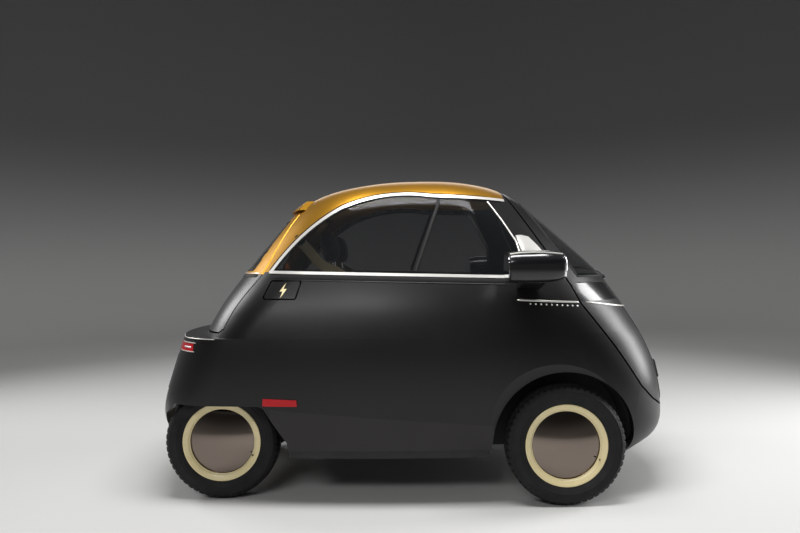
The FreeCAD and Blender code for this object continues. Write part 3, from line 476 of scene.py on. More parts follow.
def make_wheel(end, label, centre, side):
    """Tyre, rim and disc of one wheel."""
    wheel = f"{end}_{label}"
    body = "wheel_" + wheel
    place = wheel_place(centre, side)
    tyre = make_tyre(f"tyre_{wheel}_tread", place, body)
    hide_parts("tyre_" + wheel)
    rim_profile = [(0.15, 0.042), (0.1506, 0.0446), (0.153, 0.0452), (0.1545, 0.0462), (0.156, 0.05),
                   (0.159, 0.0528), (0.164, 0.0545), (0.169, 0.0562), (0.174, 0.0588), (0.1785, 0.06),
                   (0.1815, 0.0596), (0.1826, 0.058), (0.1822, 0.0562), (0.18, 0.0552), (0.1765, 0.054),
                   (0.1745, 0.05), (0.169, 0.042), (0.168, 0.037), (0.152, 0.025), (0.151, -0.03),
                   (0.168, -0.038), (0.169, -0.05), (0.1765, -0.054), (0.1815, -0.056), (0.1826, -0.059),
                   (0.18, -0.06), (0.166, -0.059), (0.164, -0.042), (0.148, -0.031), (0.148, 0.023),
                   (0.11, 0.015), (0.056, 0.009), (0.056, -0.019), (0.042, -0.02), (0.042, 0.026),
                   (0.056, 0.026), (0.058, 0.017), (0.11, 0.021), (0.148, 0.029)]
    rim = lathe(f"rim_{wheel}_enamel", rim_profile, place, "cream", body, RIM_SEGMENTS, 0.9)
    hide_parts("rim_" + wheel)
    disc_profile = []
    for step in range(15):
        share = step / 14
        radius = DISC_RADIUS * 0.985 * (1 - share)
        disc_profile.append((max(radius, 0.0004), 0.0405 + 0.0285 * (1 - (1 - share) ** 2)))
    edge = [(0.1503, 0.0385), (0.1508, 0.0405), (0.15, 0.0432), (0.149, 0.042)]
    back = [(max(r - 0.001, 0.0003), o - 0.002) for r, o in reversed(disc_profile)]
    disc = lathe(f"disc_{wheel}_chrome", edge + disc_profile + back, place, "disc", body,
                 RIM_SEGMENTS, 0.8)
    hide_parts("disc_" + wheel)
    angle = math.radians(-24)
    way = Vector((math.cos(angle), 0, math.sin(angle)))
    foot = Vector(centre) + way * 0.1595 + Vector((0, side * 0.048, 0))
    tip = foot - way * 0.004 + Vector((0, side * 0.014, 0))
    tube("valve_" + wheel, [foot, foot + (tip - foot) * 0.5, tip], 0.0032, "seal", body, slot="tyre")


for _end, _x, _y in (("front", FRONT_X, FRONT_Y), ("rear", REAR_X, REAR_Y)):
    for _label, _side in SIDES:
        make_wheel(_end, _label, (_x, _side * _y, AXLE_Z), _side)


# ---- trim on the skin

def belt_height(x):
    """Middle of the chrome under the side windows, which falls from its rear end to its front end."""
    rear_x, rear_z, front_x, front_z = -0.65, 1.056, 0.48, 1.014
    return rear_z + (x - rear_x) / (front_x - rear_x) * (front_z - rear_z)


def lifted(spots, height):
    """Spots moved out along their normals."""
    return [(spot + normal * height, normal) for spot, normal in spots]


def make_side_trim():
    """Strips along the belt, the window's front edge and divider, and the bright line with its beads."""
    front = [(0.368, 1.372), (0.432, 1.272), (0.486, 1.176), (0.497, 1.12), (0.496, 1.03)]
    strips = [
        ("belt_shadow", [(x, belt_height(x) - 0.019) for x in (-0.64, 0.45)], 70, 0.024, 0.0022, "seal", 0.03),
        ("window_front_chrome", front, 50, 0.008, 0.0035, "bright", 0.03),
        ("window_divider", [(0.141, 1.378), (0.082, 1.215), (0.02, 1.046)], 30, 0.015, 0.003, "seal", 0.0),
        ("belt_edge", [(x, belt_height(x) - 0.0345) for x in (-0.632, 0.44)], 70, 0.0055, 0.0022, "black", 0.03),
        ("wing_line", [(0.462, 0.913), (0.6, 0.904), (0.748, 0.895)], 40, 0.0085, 0.004, "bright", 0.04),
    ]
    for label, side in SIDES:
        for name, corners, count, width, height, look, taper in strips:
            ribbon(f"{name}_{label}", side_line(corners, side, count), width, height, look, "body", taper=taper)
        studs = side_line([(0.522, 0.8945), (0.738, 0.8795)], side, 9)
        beads(f"wing_beads_{label}", studs, 0.0042, "bright", "body")


def beads(name, spots, radius, look, body):
    """A row of small round studs on the skin, one mesh."""
    work = bmesh.new()
    for spot, normal in filter(None, spots):
        turn = normal.to_track_quat("Z", "Y").to_matrix().to_4x4()
        bmesh.ops.create_uvsphere(work, u_segments=12, v_segments=8, radius=radius,
                                  matrix=Matrix.Translation(spot) @ turn @ Matrix.Diagonal((1, 1, 0.7, 1)))
    return piece(name, *raw_mesh(work), look, body, crease=2.0)


def nose_arc(low_z, rise, edge_x):
    """Spots round the nose at a height that rises towards the sides, as far back as edge_x."""
    widest = 104
    spots = [round_spot(step * 0.5, low_z + rise * (step / widest) ** 2) for step in range(-widest, widest + 1)]
    return [spot for spot in spots if spot and spot[0].x > edge_x]


def make_door_trim():
    """The crease on each side of the door, the bright line round the nose and the dark one above it."""
    for label, side in SIDES:
        heights = [0.985 - 0.575 * step / 40 for step in range(41)]
        crease = [nose_spot(0.925 + 0.266 * math.sin(1.5 * (0.999 - z) / 0.6), z, side) for z in heights]
        ribbon(f"door_crease_{label}", crease, 0.012, 0.0035, "black", "front_door", taper=0.05)
    ribbon("nose_line", nose_arc(0.846, 0.049, 0.772), 0.008, 0.0035, "bright", "front_door", taper=0.02)
    ribbon("nose_line_upper", nose_arc(0.981, 0.0, 0.736), 0.005, 0.0018, "seal", "front_door", taper=0.02)


def edge_line(corners, finder, count):
    """Skin spots along a line of corners, each found by finder(first, second)."""
    spots = []
    for (first, second), (third, fourth) in zip(corners, corners[1:]):
        for step in range(count):
            share = step / count
            spots.append(finder(first + share * (third - first), second + share * (fourth - second)))
    return spots + [finder(*corners[-1])]


def make_seals():
    """Black rubber round the windscreen, the rear window and inside the side windows' chrome."""
    top = [round_spot(angle, 1.376) for angle in range(-52, 53, 4)]
    low = [round_spot(angle, 1.009) for angle in range(-50, 51, 2)]
    top = [found for found in top if found and found[0].x > 0.552]
    low = [found for found in low if found and found[0].x > 0.782]
    left = edge_line([(0.7695, 1.009), (0.558, 1.372)], lambda x, z: side_spot(x, z, 1), 24)
    right = edge_line([(0.558, 1.372), (0.7695, 1.009)], lambda x, z: side_spot(x, z, -1), 24)
    ribbon("windscreen_seal", low + left + list(reversed(top)) + right + low[:1], 0.011, 0.0028, "seal", "front_door")
    corners = [(-0.282, 1.304), (0.282, 1.304), (0.405, 1.065), (-0.405, 1.065), (-0.282, 1.304)]
    spots = edge_line(corners, lambda y, z: end_spot(y, z, False), 20)
    ribbon("rear_window_seal", spots[:-1] + spots[:1], 0.012, 0.003, "seal", "tailgate")
    for label, side in SIDES:
        ribbon(f"window_seal_{label}", arc_line(side, 0.0175), 0.008, 0.0022, "seal", "body", taper=0.03)
        ribbon(f"roof_gutter_{label}", arc_line(side, -0.004), 0.005, 0.002, "seal", "body", taper=0.03)


def arc_line(side, inward):
    """Skin spots along the arc over a side window, moved down towards the glass by inward."""
    start = (-0.655 + 1.3 * inward, 1.056)
    first = arc_through(start, (-0.52 + 0.9 * inward, 1.215 - 0.6 * inward),
                        (-0.324 + 0.6 * inward, 1.355 - 0.9 * inward))
    second = arc_through((-0.324 + 0.6 * inward, 1.355 - 0.9 * inward), (-0.13, 1.409 - inward),
                         (0.1, 1.406 - inward))
    line = first + second[1:] + [(0.1 + 0.06 * step, 1.406 - inward - 0.00333 * step) for step in range(1, 6)]
    return [side_spot(x, z, side) for x, z in line]


def arc_through(start, middle, end, count=30):
    """Points on the circle through three points, from start to end."""
    (ax, ay), (bx, by), (cx, cy) = start, middle, end
    spread = 2 * (ax * (by - cy) + bx * (cy - ay) + cx * (ay - by))
    a, b, c = ax * ax + ay * ay, bx * bx + by * by, cx * cx + cy * cy
    x = (a * (by - cy) + b * (cy - ay) + c * (ay - by)) / spread
    y = (a * (cx - bx) + b * (ax - cx) + c * (bx - ax)) / spread
    first = math.atan2(ay - y, ax - x)
    last = math.atan2(cy - y, cx - x)
    turn = (last - first + math.pi) % (2 * math.pi) - math.pi
    radius = math.hypot(ax - x, ay - y)
    return [(x + radius * math.cos(first + turn * k / count), y + radius * math.sin(first + turn * k / count))
            for k in range(count + 1)]


def make_wiper():
    """One wiper parked along the foot of the windscreen."""
    blade = [round_spot(angle, 1.036 + 0.0003 * (angle + 6)) for angle in range(-6, 33, 2)]
    ribbon("wiper_blade", lifted(blade, 0.006), 0.007, 0.009, "seal", "front_door", sink=0.005, taper=0.05)
    (pivot, normal), (knee, knee_normal), (end, end_normal) = (
        round_spot(-12, 0.992), round_spot(-4, 1.012), round_spot(13, 1.04))
    start, bend, tip = pivot + normal * 0.013, knee + knee_normal * 0.02, end + end_normal * 0.017
    arm = [start, start.lerp(bend, 0.5), bend, bend.lerp(tip, 0.33), bend.lerp(tip, 0.66), tip]
    tube("wiper_arm", arm, 0.0042, "seal", "front_door", squash=0.6)
    cap = [(0.0004, 0.02), (0.007, 0.019), (0.01, 0.015), (0.011, 0.006), (0.014, 0.0), (0.014, -0.004),
           (0.0004, -0.004)]
    place = Matrix.Translation(pivot) @ normal.to_track_quat("Y", "Z").to_matrix().to_4x4()
    lathe("wiper_pivot", cap, place, "seal", "front_door", segments=32)


def ovals(stations, centre, power=3.0, count=64):
    """Rounded rectangles across the car: stations are (x, width, height)."""
    corners = [rounded(angle, power) for angle in turns(count)]
    return [[Vector((x, centre[0] + y * width / 2, centre[1] + z * height / 2)) for y, z in corners]
            for x, width, height in stations]


def make_pods():
    """Headlamps in the pods: chrome rim, dished reflector, round cells, clear cover; mirror surrounds behind."""
    low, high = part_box("pod_lenses")
    front, rear = high[0] - 0.002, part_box("pod_mirrors")[0][0] + 0.002
    wide, tall = 0.1104, high[2] - low[2]
    outside, middle_z = high[1] - wide / 2, (low[2] + high[2]) / 2
    inner = [(0.0015, 0.96), (-0.004, 0.9), (-0.008, 0.74), (-0.0092, 0.46), (-0.0096, 0.1)]
    rim = [(-0.007, 0.146, 1.335), (-0.003, 0.146, 1.335), (0.003, 0.139, 1.27), (0.005, 0.132, 1.19),
           (0.0045, 0.118, 1.06), (0.001, 0.106, 0.94)]
    cover = [(0.001, 0.98), (0.004, 0.94), (0.0065, 0.78), (0.008, 0.55), (0.0086, 0.22)]
    cell = [(0.0005, -0.0012), (0.0055, -0.0018), (0.0085, -0.0035), (0.0098, -0.003), (0.0108, -0.0035),
            (0.011, -0.009), (0.0005, -0.009)]
    back = [(0.006, 0.175, 0.94), (0.001, 0.174, 0.93), (-0.0005, 0.166, 0.87), (0.002, 0.156, 0.8)]
    edge = [(rear + 0.004, 0.07, 0.8), (rear + 0.05, 0.074, 0.87), (rear + 0.1, 0.074, 0.885),
            (rear + 0.15, 0.07, 0.865), (front - 0.012, 0.06, 0.76)]
    for label, side in SIDES:
        centre = (side * outside, middle_z)
        rows = ovals([(front + x, wide * share, tall * share) for x, share in inner], centre)
        bowl = loft(f"lamp_bowl_{label}", rows, "chrome", "body", 0.7, (False, True))
        if side > 0:
            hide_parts("pod_lenses")
        rows = ovals([(front + x, across, tall * up) for x, across, up in rim], centre)
        loft(f"lamp_rim_{label}", rows, "chrome", "body", 0.7, (False, False))
        rows = ovals([(front + x, wide * share, tall * share) for x, share in cover], centre)
        loft(f"lamp_cover_{label}", rows, "lens", "body", 0.7, (False, True))
        for number, along in enumerate((-0.027, 0.0, 0.027)):
            place = Matrix.Translation((0.0, centre[0] + along, centre[1])) @ Matrix.Rotation(-math.pi / 2, 4, "Z")
            lathe(f"lamp_cell_{label}_{number}", [(radius, front + x) for radius, x in cell], place, "bulb_and_highlight", "body",
                  segments=40)
        rows = ovals([(rear + x, across, tall / 0.6 * up) for x, across, up in back], centre)
        loft(f"mirror_surround_{label}", rows, "seal", "body", 0.7, (False, False))
        make_sail_highlight(label, side)
        brow = [(x, side * (outside + y), middle_z + tall / 1.2 * z) for x, y, z in edge]
        tube(f"pod_brow_{label}", brow, 0.0035, "bright", "body", segments=10)


def plate_on_side(name, corners, steps, middle, layers, side, look, body):
    """A shape laid on a side's skin: layers are (share of its size, height over the skin), the last one filled."""
    rows = []
    for share, lift in layers:
        row = []
        for (ax, az), (bx, bz) in zip(corners, corners[1:] + corners[:1]):
            for step in range(steps):
                x, z = ax + (bx - ax) * step / steps, az + (bz - az) * step / steps
                spot, normal = side_spot(middle[0] + share * x, middle[1] + share * z, side)
                row.append(spot + normal * lift)
        rows.append(row)
    loft(name, rows, look, body, 0.5, (False, True))


def make_sail_highlight(label, side):
    """Bright plate between the window's front edge and the pod: a painted highlight in place of the light the glossy
    sail reflects.
    """
    corners = [(-0.048, 0.045), (-0.023, 0.046), (0.013, 0.038), (0.047, 0.002), (0.077, -0.036), (0.025, -0.038),
               (-0.027, -0.038), (-0.038, 0.002)]
    layers = ((1.0, -0.002), (1.0, 0.003), (0.96, 0.006), (0.7, 0.0075), (0.35, 0.0085))
    # The plate is a painted highlight, standing in for light reflected by the glossy black sail.
    plate_on_side(f"sail_painted_highlight_{label}", corners, 4, (0.535, 1.158), layers, side, "bright", "body")


def make_tail():
    """Bezels of the tail lamps with a thin white strip along each red lens as a painted highlight, the line on the
    shelf, blank plates and the tailgate handle.
    """
    low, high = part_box("tail_lamps")
    for label, side in SIDES:
        for row, z in (("upper", high[2] + 0.0005), ("lower", low[2] - 0.0005)):
            spots = tail_line(side, z, 0.3, 0.62)
            ribbon(f"tail_lamp_bezel_{row}_{label}", spots, 0.0045, 0.0025, "bright", "body", taper=0.03)
        # A thin white strip along the middle of each tail lamp: a painted highlight on the red lens, not a lamp.
        spots = tail_line(side, (low[2] + high[2]) / 2, 0.42, 0.56)
        ribbon(f"tail_lamp_painted_highlight_{label}", spots, 0.007, 0.0018, "bulb_and_highlight", "body", taper=0.05)
        spots = [found for found in tail_line(side, 0.7585, -0.02, 1.3, 90) if found and found[0].x < -0.885]
        ribbon(f"tail_shelf_line_{label}", spots, 0.004, 0.0016, "bright", "body", taper=0.02)
    make_plate("front_plate", True, 0.2, 0.487, 0.567, "front_door")
    make_plate("rear_plate", False, 0.15, 0.47, 0.64, "body")
    spots = [end_spot(-0.075 + 0.0125 * step, 0.842, False) for step in range(13)]
    ribbon("tailgate_handle", lifted(spots, 0.001), 0.018, 0.011, "bright", "tailgate", taper=0.2)


def make_plate(name, front, half, low, high, body):
    """A blank number plate on a holder that follows the skin behind it."""
    way = 1 if front else -1
    bottom, top = end_spot(0, low, front)[0], end_spot(0, high, front)[0]
    up = (top - bottom).normalized()
    out = Vector((0, way, 0)).cross(up).normalized()
    if out.x * way < 0:
        out = -out
    middle = (bottom + top) / 2 + out * 0.005
    tall = (top - bottom).length / 2
    radius, corner_steps = 0.01, 7

    def outline(grow, lift):
        """The plate's rounded outline, larger by grow and lift in front of its middle."""
        corners = []
        for cy, cz, begin in ((1, 1, 0), (-1, 1, 90), (-1, -1, 180), (1, -1, 270)):
            for step in range(corner_steps + 1):
                angle = math.radians(begin + 90 * step / corner_steps)
                y = cy * (half + grow - radius) + radius * math.cos(angle)
                z = cz * (tall + grow - radius) + radius * math.sin(angle)
                corners.append(middle + Vector((0, y, 0)) + up * z + out * lift)
        return corners

    rear = []
    for point in outline(0.006, 0.0):
        found = end_spot(point.y, point.z, front)
        rear.append(found[0] - Vector((way * 0.004, 0, 0)) if found else point)
    rows = [rear, outline(0.006, 0.001), outline(0.005, 0.0028), outline(0.002, 0.0028), outline(0.001, 0.0015)]
    loft(name + "_holder", rows, "seal", body, caps=(False, True))
    rows = [outline(0.0, 0.0012), outline(0.0, 0.0032), outline(-0.0012, 0.0038), outline(-0.006, 0.0038),
            outline(-0.007, 0.0034)]
    loft(name, rows, "plate", body)


def make_flap_sign():
    """A plain lightning bolt, the common sign for electric charging, let into the charge flap."""
    bolt = [(0.013, 0.034), (-0.017, -0.005), (-0.002, -0.005), (-0.012, -0.034), (0.018, 0.007), (0.002, 0.007)]
    layers = ((1.0, -0.001), (1.0, 0.0006), (0.9, 0.0011))
    plate_on_side("charge_sign", bolt, 5, (-0.578, 0.972), layers, -1, "cream", "charge_flap")


def make_gold_hatch():
    """The gold upper half of the tailgate, a skin just over the panel that ends at the belt, and its edge strips."""
    gold_foot, skin_gap = (0, 0, 1.046), 0.0007
    work = bmesh.new()
    work.from_mesh(NODES["tailgate_panel"].data)
    bmesh.ops.remove_doubles(work, verts=work.verts, dist=1e-5)
    everything = work.verts[:] + work.edges[:] + work.faces[:]
    bmesh.ops.bisect_plane(work, geom=everything, plane_co=gold_foot, plane_no=(0, 0, 1), clear_inner=True)
    bmesh.ops.recalc_face_normals(work, faces=work.faces)
    work.normal_update()
    for vertex in work.verts:
        vertex.co += vertex.normal * skin_gap
    piece("tailgate_gold", *raw_mesh(work), "gold", "tailgate", 0.5)
    strips = (("belt", 0.485, 1.04, 0.018, "seal"), ("line", 0.482, 1.0505, 0.005, "bright"))
    for name, half, z, width, look in strips:
        spots = [end_spot(half * (step / 50 - 1), z, False) for step in range(101)]
        ribbon("tailgate_" + name, spots, width, 0.003, look, "tailgate", taper=0.01)


def smooth_path(path, steps=8):
    """A curve through every point of a path."""
    points = [Vector(point) for point in path]
    smooth = []
    for index in range(len(points) - 1):
        before, after = points[max(index - 1, 0)], points[min(index + 2, len(points) - 1)]
        first, second = points[index], points[index + 1]
        for step in range(steps):
            t = step / steps
            smooth.append(0.5 * (2 * first + (second - before) * t
                                 + (2 * before - 5 * first + 4 * second - after) * t * t
                                 + (3 * first - before - 3 * second + after) * t ** 3))
    return smooth + points[-1:]


def strap(name, path, width, across, look, body):
    """Flat webbing along a path, its width along across."""
    across = Vector(across).normalized()
    section = [(-0.5, 0.0), (-0.48, 0.0009), (-0.2, 0.0012), (0.2, 0.0012), (0.48, 0.0009), (0.5, 0.0),
               (0.48, -0.0009), (0.2, -0.0012), (-0.2, -0.0012), (-0.48, -0.0009)]
    smooth = smooth_path(path)
    last = len(smooth) - 1
    rows = []
    for index, point in enumerate(smooth):
        ahead = (smooth[min(index + 1, last)] - smooth[max(index - 1, 0)]).normalized()
        side = (across - ahead * across.dot(ahead)).normalized()
        up = side.cross(ahead).normalized()
        rows.append([point + side * (width * u) + up * v for u, v in section])
    loft(name, rows, look, body, crease=1.2)


def make_belts():
    """A webbing belt, its upper anchor and its buckle on each side of the bench."""
    for label, side in SIDES:
        path = [(-0.52, side * 0.455, 1.2), (-0.478, side * 0.425, 1.15), (-0.425, side * 0.395, 1.085),
                (-0.33, side * 0.372, 1.03), (-0.268, side * 0.34, 0.9), (-0.215, side * 0.29, 0.74),
                (-0.12, side * 0.22, 0.6), (-0.11, side * 0.15, 0.56)]
        strap(f"seat_belt_{label}", path, 0.048, (0.75, -side * 0.25, 0.45), "belt", "body")
        anchor = Matrix.Translation((-0.52, side * 0.462, 1.205)) @ Matrix.Rotation(0.5, 4, "Y")
        plate = [(0.0005, 0.012), (0.016, 0.012), (0.024, 0.008), (0.027, 0.0), (0.024, -0.008), (0.0005, -0.01)]
        lathe(f"belt_anchor_{label}", plate, anchor, "seal", "body", segments=32)
        section = [rounded(angle, 4) for angle in turns(28)]
        rows = [[Vector((-0.11 + half_x * x, side * 0.145 + half_y * y, z)) for x, y in section]
                for z, half_x, half_y in ((0.53, 0.011, 0.018), (0.56, 0.012, 0.02), (0.585, 0.013, 0.022),
                                          (0.598, 0.012, 0.021), (0.603, 0.008, 0.016))]
        loft(f"belt_buckle_{label}", rows, "seal", "body", crease=0.8)


def make_steering_wheel():
    """A padded rim with thumb rests, a shaped hub and three flat spokes, in place of the plain wheel."""
    hub, foot = Vector((0.28, DRIVER_Y, 0.83)), Vector((0.68, DRIVER_Y, 0.25))
    axis = (hub - foot).normalized()
    place = Matrix.Translation(hub + axis * 0.001) @ axis.to_track_quat("Y", "Z").to_matrix().to_4x4()
    rim = []
    for angle in turns(96):
        thick = 0.0135 + sum(0.0018 * math.exp(-(math.sin(angle + rest) / 0.16) ** 2) for rest in (-0.5, 0.5))
        ring = []
        for turned in turns(20):
            radius = 0.17 + thick * math.cos(turned) * 0.92
            point = Vector((radius * math.cos(angle), thick * math.sin(turned), radius * math.sin(angle)))
            ring.append(place @ point)
        rim.append(ring)
    wheel = piece("steering_rim", *rings(rim, joined=True), "leather", "steering_wheel")
    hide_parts("steering_wheel")
    profile = [(0.0005, 0.026), (0.02, 0.025), (0.036, 0.02), (0.044, 0.011), (0.046, 0.0), (0.04, -0.014),
               (0.03, -0.026), (0.0005, -0.028)]
    lathe("steering_hub", profile, place, "chassis", "steering_wheel", segments=64)
    stations = [(0.034, 0.024, 0.01, 0.006), (0.06, 0.019, 0.004, 0.005), (0.095, 0.015, -0.001, 0.0045),
                (0.13, 0.014, 0.0, 0.0045), (0.163, 0.018, 0.0, 0.006)]
    for number, degrees in enumerate((60, 180, 300)):
        angle = math.radians(degrees)
        out, across = Vector((math.cos(angle), 0, math.sin(angle))), Vector((-math.sin(angle), 0, math.cos(angle)))
        rows = [[place @ (out * run + across * (half * math.cos(a)) + Vector((0, lift + thick * math.sin(a), 0)))
                 for a in turns(20)] for run, half, lift, thick in stations]
        loft(f"steering_spoke_{number}", rows, "cast", "steering_wheel")


def make_display():
    """A blank instrument screen in a hooded case on the bar across the door."""
    low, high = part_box("dash_bar")
    y, bar_z = DRIVER_Y, (low[2] + high[2]) / 2
    x, z = low[0] - 0.006, bar_z + 0.07
    case = [(x + 0.03, 0.15, 0.06), (x + 0.022, 0.19, 0.092), (x + 0.004, 0.204, 0.104),
            (x - 0.01, 0.206, 0.106), (x - 0.014, 0.2, 0.1), (x - 0.011, 0.19, 0.09)]
    loft("display_case", ovals(case, (y, z), 6.0), "chassis", "front_door", 0.7)
    glass = [(x - 0.01, 0.188, 0.088), (x - 0.0122, 0.188, 0.088), (x - 0.013, 0.184, 0.084)]
    loft("display_glass", ovals(glass, (y, z), 7.0), "gloss", "front_door", 0.7, (False, True))
    foot = [(x + 0.02, y, z - 0.03), (x + 0.03, y, z - 0.045), (low[0] + 0.03, y, bar_z)]
    tube("display_foot", foot, 0.014, "chassis", "front_door", segments=20)


def make_pedals():
    """Two pedals with ribbed pads on bent arms."""
    for name, y, wide in (("brake_pedal", 0.3, 0.062), ("drive_pedal", 0.205, 0.046)):
        arm = [(0.9, y, 0.47), (0.88, y, 0.4), (0.845, y, 0.345), (0.838, y, 0.318)]
        tube(name + "_arm", arm, 0.009, "steel", "body", segments=14)
        out = Vector((-0.93, 0, 0.36))
        rows = []
        for share in (step / 12 for step in range(13)):
            centre = Vector((0.822 + 0.022 * share, y, 0.292 + 0.056 * share))
            bump = 0.0028 * abs(math.sin(math.pi * 5 * share))
            half = wide / 2 * (0.9 + 0.1 * math.sin(math.pi * share))
            section = [(-1.0, -0.005), (-1.0, 0.001 + bump), (-0.9, 0.004 + bump), (0.9, 0.004 + bump),
                       (1.0, 0.001 + bump), (1.0, -0.005)]
            rows.append([centre + Vector((0, half * u, 0)) + out * v for u, v in section])
        loft(name, rows, "rubber", "body", 0.5)


make_side_trim()
make_door_trim()
make_seals()
make_wiper()
make_pods()
make_tail()
make_flap_sign()
make_gold_hatch()
make_belts()
make_steering_wheel()
make_display()
make_pedals()


# ---- seats

PAD_PRESSURE, CLOTH_FRAMES, CHANNEL_WIDTH = 4.0, 20, 0.007
BENCH = ((-0.23, -0.53, 0.415), (0.2, 0.53, 0.545))
BACK_FOOT, BACK_LEAN = Vector((-0.342, -0.51, 0.505)), math.radians(-9)
BACK = ((0.0, 0.0, 0.0), (0.105, 1.02, 0.56))
BACK_PLACE = Matrix.Translation(BACK_FOOT) @ Matrix.Rotation(BACK_LEAN, 4, "Y")


def rounded_block(low, high, inset, radius, voxel):
    """A block with rounded edges, remeshed evenly, as a new object."""
    work = bmesh.new()
    bmesh.ops.create_cube(work, size=1.0)
    size = Vector(high) - Vector(low) - Vector((inset, inset, inset)) * 2
    middle = (Vector(high) + Vector(low)) / 2
    for vertex in work.verts:
        vertex.co = Vector((vertex.co.x * size.x, vertex.co.y * size.y, vertex.co.z * size.z)) + middle
    bmesh.ops.bevel(work, geom=work.edges, offset=radius, segments=4, profile=0.5, affect="EDGES")
    mesh = bpy.data.meshes.new("pad")
    work.to_mesh(mesh)
    work.free()
    item = placed("pad", mesh)
    remesh = item.modifiers.new("remesh", "REMESH")
    remesh.mode = "VOXEL"
    remesh.voxel_size = voxel
    return item


def bake_modifiers(item):
    """Turns what the modifiers show into the mesh itself."""
    graph = bpy.context.evaluated_depsgraph_get()
    mesh = bpy.data.meshes.new_from_object(item.evaluated_get(graph))
    item.modifiers.clear()
    item.data = mesh


def inflate(item, cap):
    """Swells a closed mesh with the cloth solver, each point held within cap of its start."""
    start = [vertex.co.copy() for vertex in item.data.vertices]
    cloth = item.modifiers.new("cloth", "CLOTH")
    cloth.settings.use_pressure = True
    cloth.settings.uniform_pressure_force = PAD_PRESSURE
    cloth.settings.effector_weights.gravity = 0.0
    cloth.settings.quality = 4
    cloth.point_cache.frame_start = 1
    cloth.point_cache.frame_end = CLOTH_FRAMES
    for number in range(1, CLOTH_FRAMES + 1):
        bpy.context.scene.frame_set(number)
    bake_modifiers(item)
    for vertex, before in zip(item.data.vertices, start):
        move = vertex.co - before
        if move.length > cap:
            vertex.co = before + move.normalized() * cap
    bpy.context.scene.frame_set(1)


def channelled(item, lines, face_axis, depth):
    """Presses sewn channels into a pad's face at the high end of an axis; lines are (axis, place)."""
    low = [min(vertex.co[axis] for vertex in item.data.vertices) for axis in range(3)]
    high = [max(vertex.co[axis] for vertex in item.data.vertices) for axis in range(3)]
    span = high[face_axis] - low[face_axis]
    for vertex in item.data.vertices:
        share = (vertex.co[face_axis] - low[face_axis]) / span
        reach = max(0.0, min(1.0, (share - 0.45) / 0.35))
        press = max(math.exp(-((vertex.co[axis] - place) / CHANNEL_WIDTH) ** 2) for axis, place in lines)
        vertex.co[face_axis] -= depth * press * reach


def make_pad(name, low, high, place, lines, face_axis, node=None, inset=0.016, radius=0.03, voxel=0.009,
             cap=0.02, depth=0.008):
    """A stuffed piece: rounded block, swelled as cloth, sewn channels, then put in place."""
    item = rounded_block(low, high, inset, radius, voxel)
    bake_modifiers(item)
    inflate(item, cap)
    channelled(item, lines, face_axis, depth)
    item.data.transform(place)
    smoother = item.modifiers.new("subdivision", "SUBSURF")
    smoother.levels = smoother.render_levels = 1
    bake_modifiers(item)
    item.name = name
    item.data.name = name
    for polygon in item.data.polygons:
        polygon.use_smooth = True
    item.data.materials.clear()
    item.data.materials.append(LOOK["cloth"])
    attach(item, "body")
    if node:
        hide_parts(node)
    return item


def make_seats():
    """Bench, its back and the two head restraints."""
    channels = (-0.36, -0.24, -0.12, 0.0, 0.12, 0.24, 0.36)
    cushion_lines = [(1, y) for y in channels] + [(0, -0.19), (0, 0.145)]
    make_pad("bench_cushion_pad", *BENCH, Matrix.Identity(4), cushion_lines, 2, "bench_cushion")
    back_lines = [(1, 0.51 + y) for y in channels] + [(2, 0.505)]
    make_pad("bench_back_pad", *BACK, BACK_PLACE, back_lines, 0, "bench_back", inset=0.014)
    for label, y in (("left", 0.772), ("right", 0.248)):
        low = (0.0085, y - 0.135, 0.585)
        high = (0.0965, y + 0.135, 0.75)
        make_pad(f"head_restraint_{label}", low, high, BACK_PLACE, [(2, 0.61)], 0, inset=0.01,
                                   radius=0.026, voxel=0.007, cap=0.012, depth=0.004)
        for number, along in enumerate((-0.06, 0.06)):
            posts = [BACK_PLACE @ Vector((0.0525, y + along, z)) for z in (0.545, 0.57, 0.6)]
            tube(f"restraint_post_{label}_{number}", posts, 0.006, "chrome", "body", segments=16)
    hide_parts("head_restraints")


make_seats()


# ---- studio and camera

def make_studio():
    """Pale floor that rises into a round backdrop."""
    profile = [(6.0, 0.0), (7.5, 0.1), (8.6, 0.55), (9.2, 1.4), (9.5, 2.6), (9.6, 7.0)]
    rows = [[(radius * math.cos(angle), radius * math.sin(angle), height - 0.0005) for radius, height in profile]
            for angle in turns(96)]
    points, faces = rings(rows, open_rows=True, joined=True)
    faces.append(tuple(range(0, len(points), len(profile))))
    mesh = bpy.data.meshes.new("studio_floor")
    mesh.from_pydata(points, [], faces)
    floor = placed("studio_floor", mesh)
    for polygon in mesh.polygons:
        polygon.use_smooth = True
    mesh.materials.append(backdrop_material())


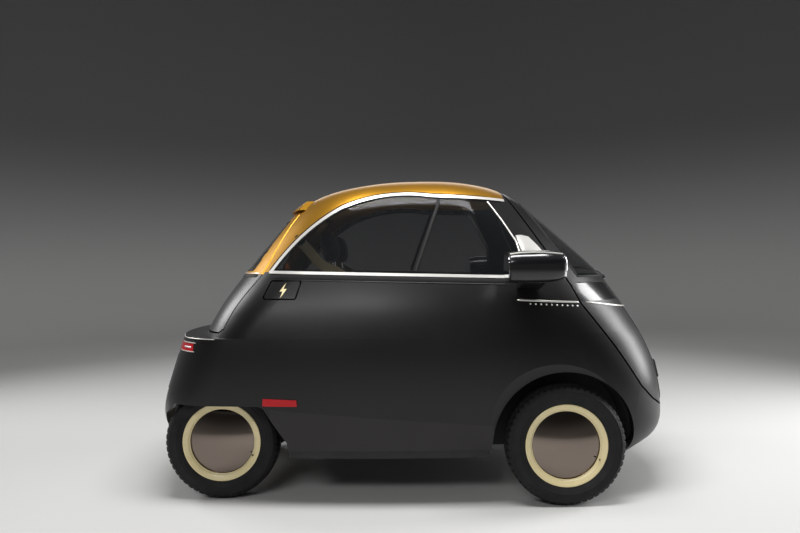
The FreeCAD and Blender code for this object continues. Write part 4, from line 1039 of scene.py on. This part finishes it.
def backdrop_material():
    """Pale floor that darkens as it rises into the backdrop."""
    material = surface("studio_floor", (0.56, 0.56, 0.55), 0.9, vary=0.02, patch=0.5, spread=0.03, bump=0.0)
    tree = material.node_tree
    shader = tree.nodes["Principled BSDF"]
    floor_colour = shader.inputs["Base Color"].links[0].from_socket
    place = add(tree, "ShaderNodeTexCoord").outputs["Object"]
    height = add(tree, "ShaderNodeSeparateXYZ", Vector=place).outputs["Z"]
    rise = add(tree, "ShaderNodeMapRange", interpolation_type="SMOOTHSTEP", Value=height, From_Min=0.0, From_Max=3.6)
    mix = add(tree, "ShaderNodeMix", data_type="RGBA", Factor=rise.outputs["Result"])
    low, high, result = colour_sockets(mix)
    tree.links.new(floor_colour, low)
    high.default_value = (0.13, 0.13, 0.135, 1)
    tree.links.new(result, shader.inputs["Base Color"])
    return material


def area_light(name, place, aim, size, energy):
    """A white rectangular light at a place, turned to a point."""
    light = bpy.data.lights.new(name, "AREA")
    light.shape = "RECTANGLE"
    light.size, light.size_y = size
    light.energy = energy
    item = placed(name, light)
    item.location = place
    item.rotation_euler = (Vector(aim) - Vector(place)).to_track_quat("-Z", "Y").to_euler()


def make_lights():
    """Soft lights above, over the near side, at both ends and behind, and a faint even sky."""
    area_light("overhead", (0.1, -1.35, 4.2), (0.0, -0.3, 0.7), (2.8, 1.0), 190)
    area_light("shoulder", (-2.4, -6.0, 4.3), (-0.4, -0.7, 0.95), (3.8, 1.0), 130)
    area_light("nose", (4.2, 0.4, 1.95), (1.0, -0.3, 0.8), (1.2, 3.2), 130)
    area_light("tail", (-4.2, 1.6, 2.9), (-0.9, -0.2, 0.9), (1.4, 1.6), 70)
    area_light("behind", (0.0, 4.8, 3.2), (0.0, 0.0, 0.8), (4.0, 1.2), 40)
    world = bpy.data.worlds.new("studio")
    bpy.context.scene.world = world
    world.use_nodes = True
    back = world.node_tree.nodes["Background"]
    back.inputs["Color"].default_value = (1, 1, 1, 1)
    back.inputs["Strength"].default_value = 0.15


def make_camera():
    """A wide lens at roof height that looks straight at the car's right side."""
    lens = bpy.data.cameras.new("camera")
    lens.sensor_width = 36.0
    lens.lens = 31.55
    lens.clip_end = 60.0
    item = placed("camera", lens)
    item.matrix_world = (Matrix.Translation((-0.049, -3.77, 1.07)) @ Matrix.Rotation(math.radians(90), 4, "X")
                         @ Matrix.Rotation(math.radians(-1.11), 4, "Z"))
    bpy.context.scene.camera = item


make_studio()
make_lights()
make_camera()
bpy.context.scene.view_settings.view_transform = "Standard"
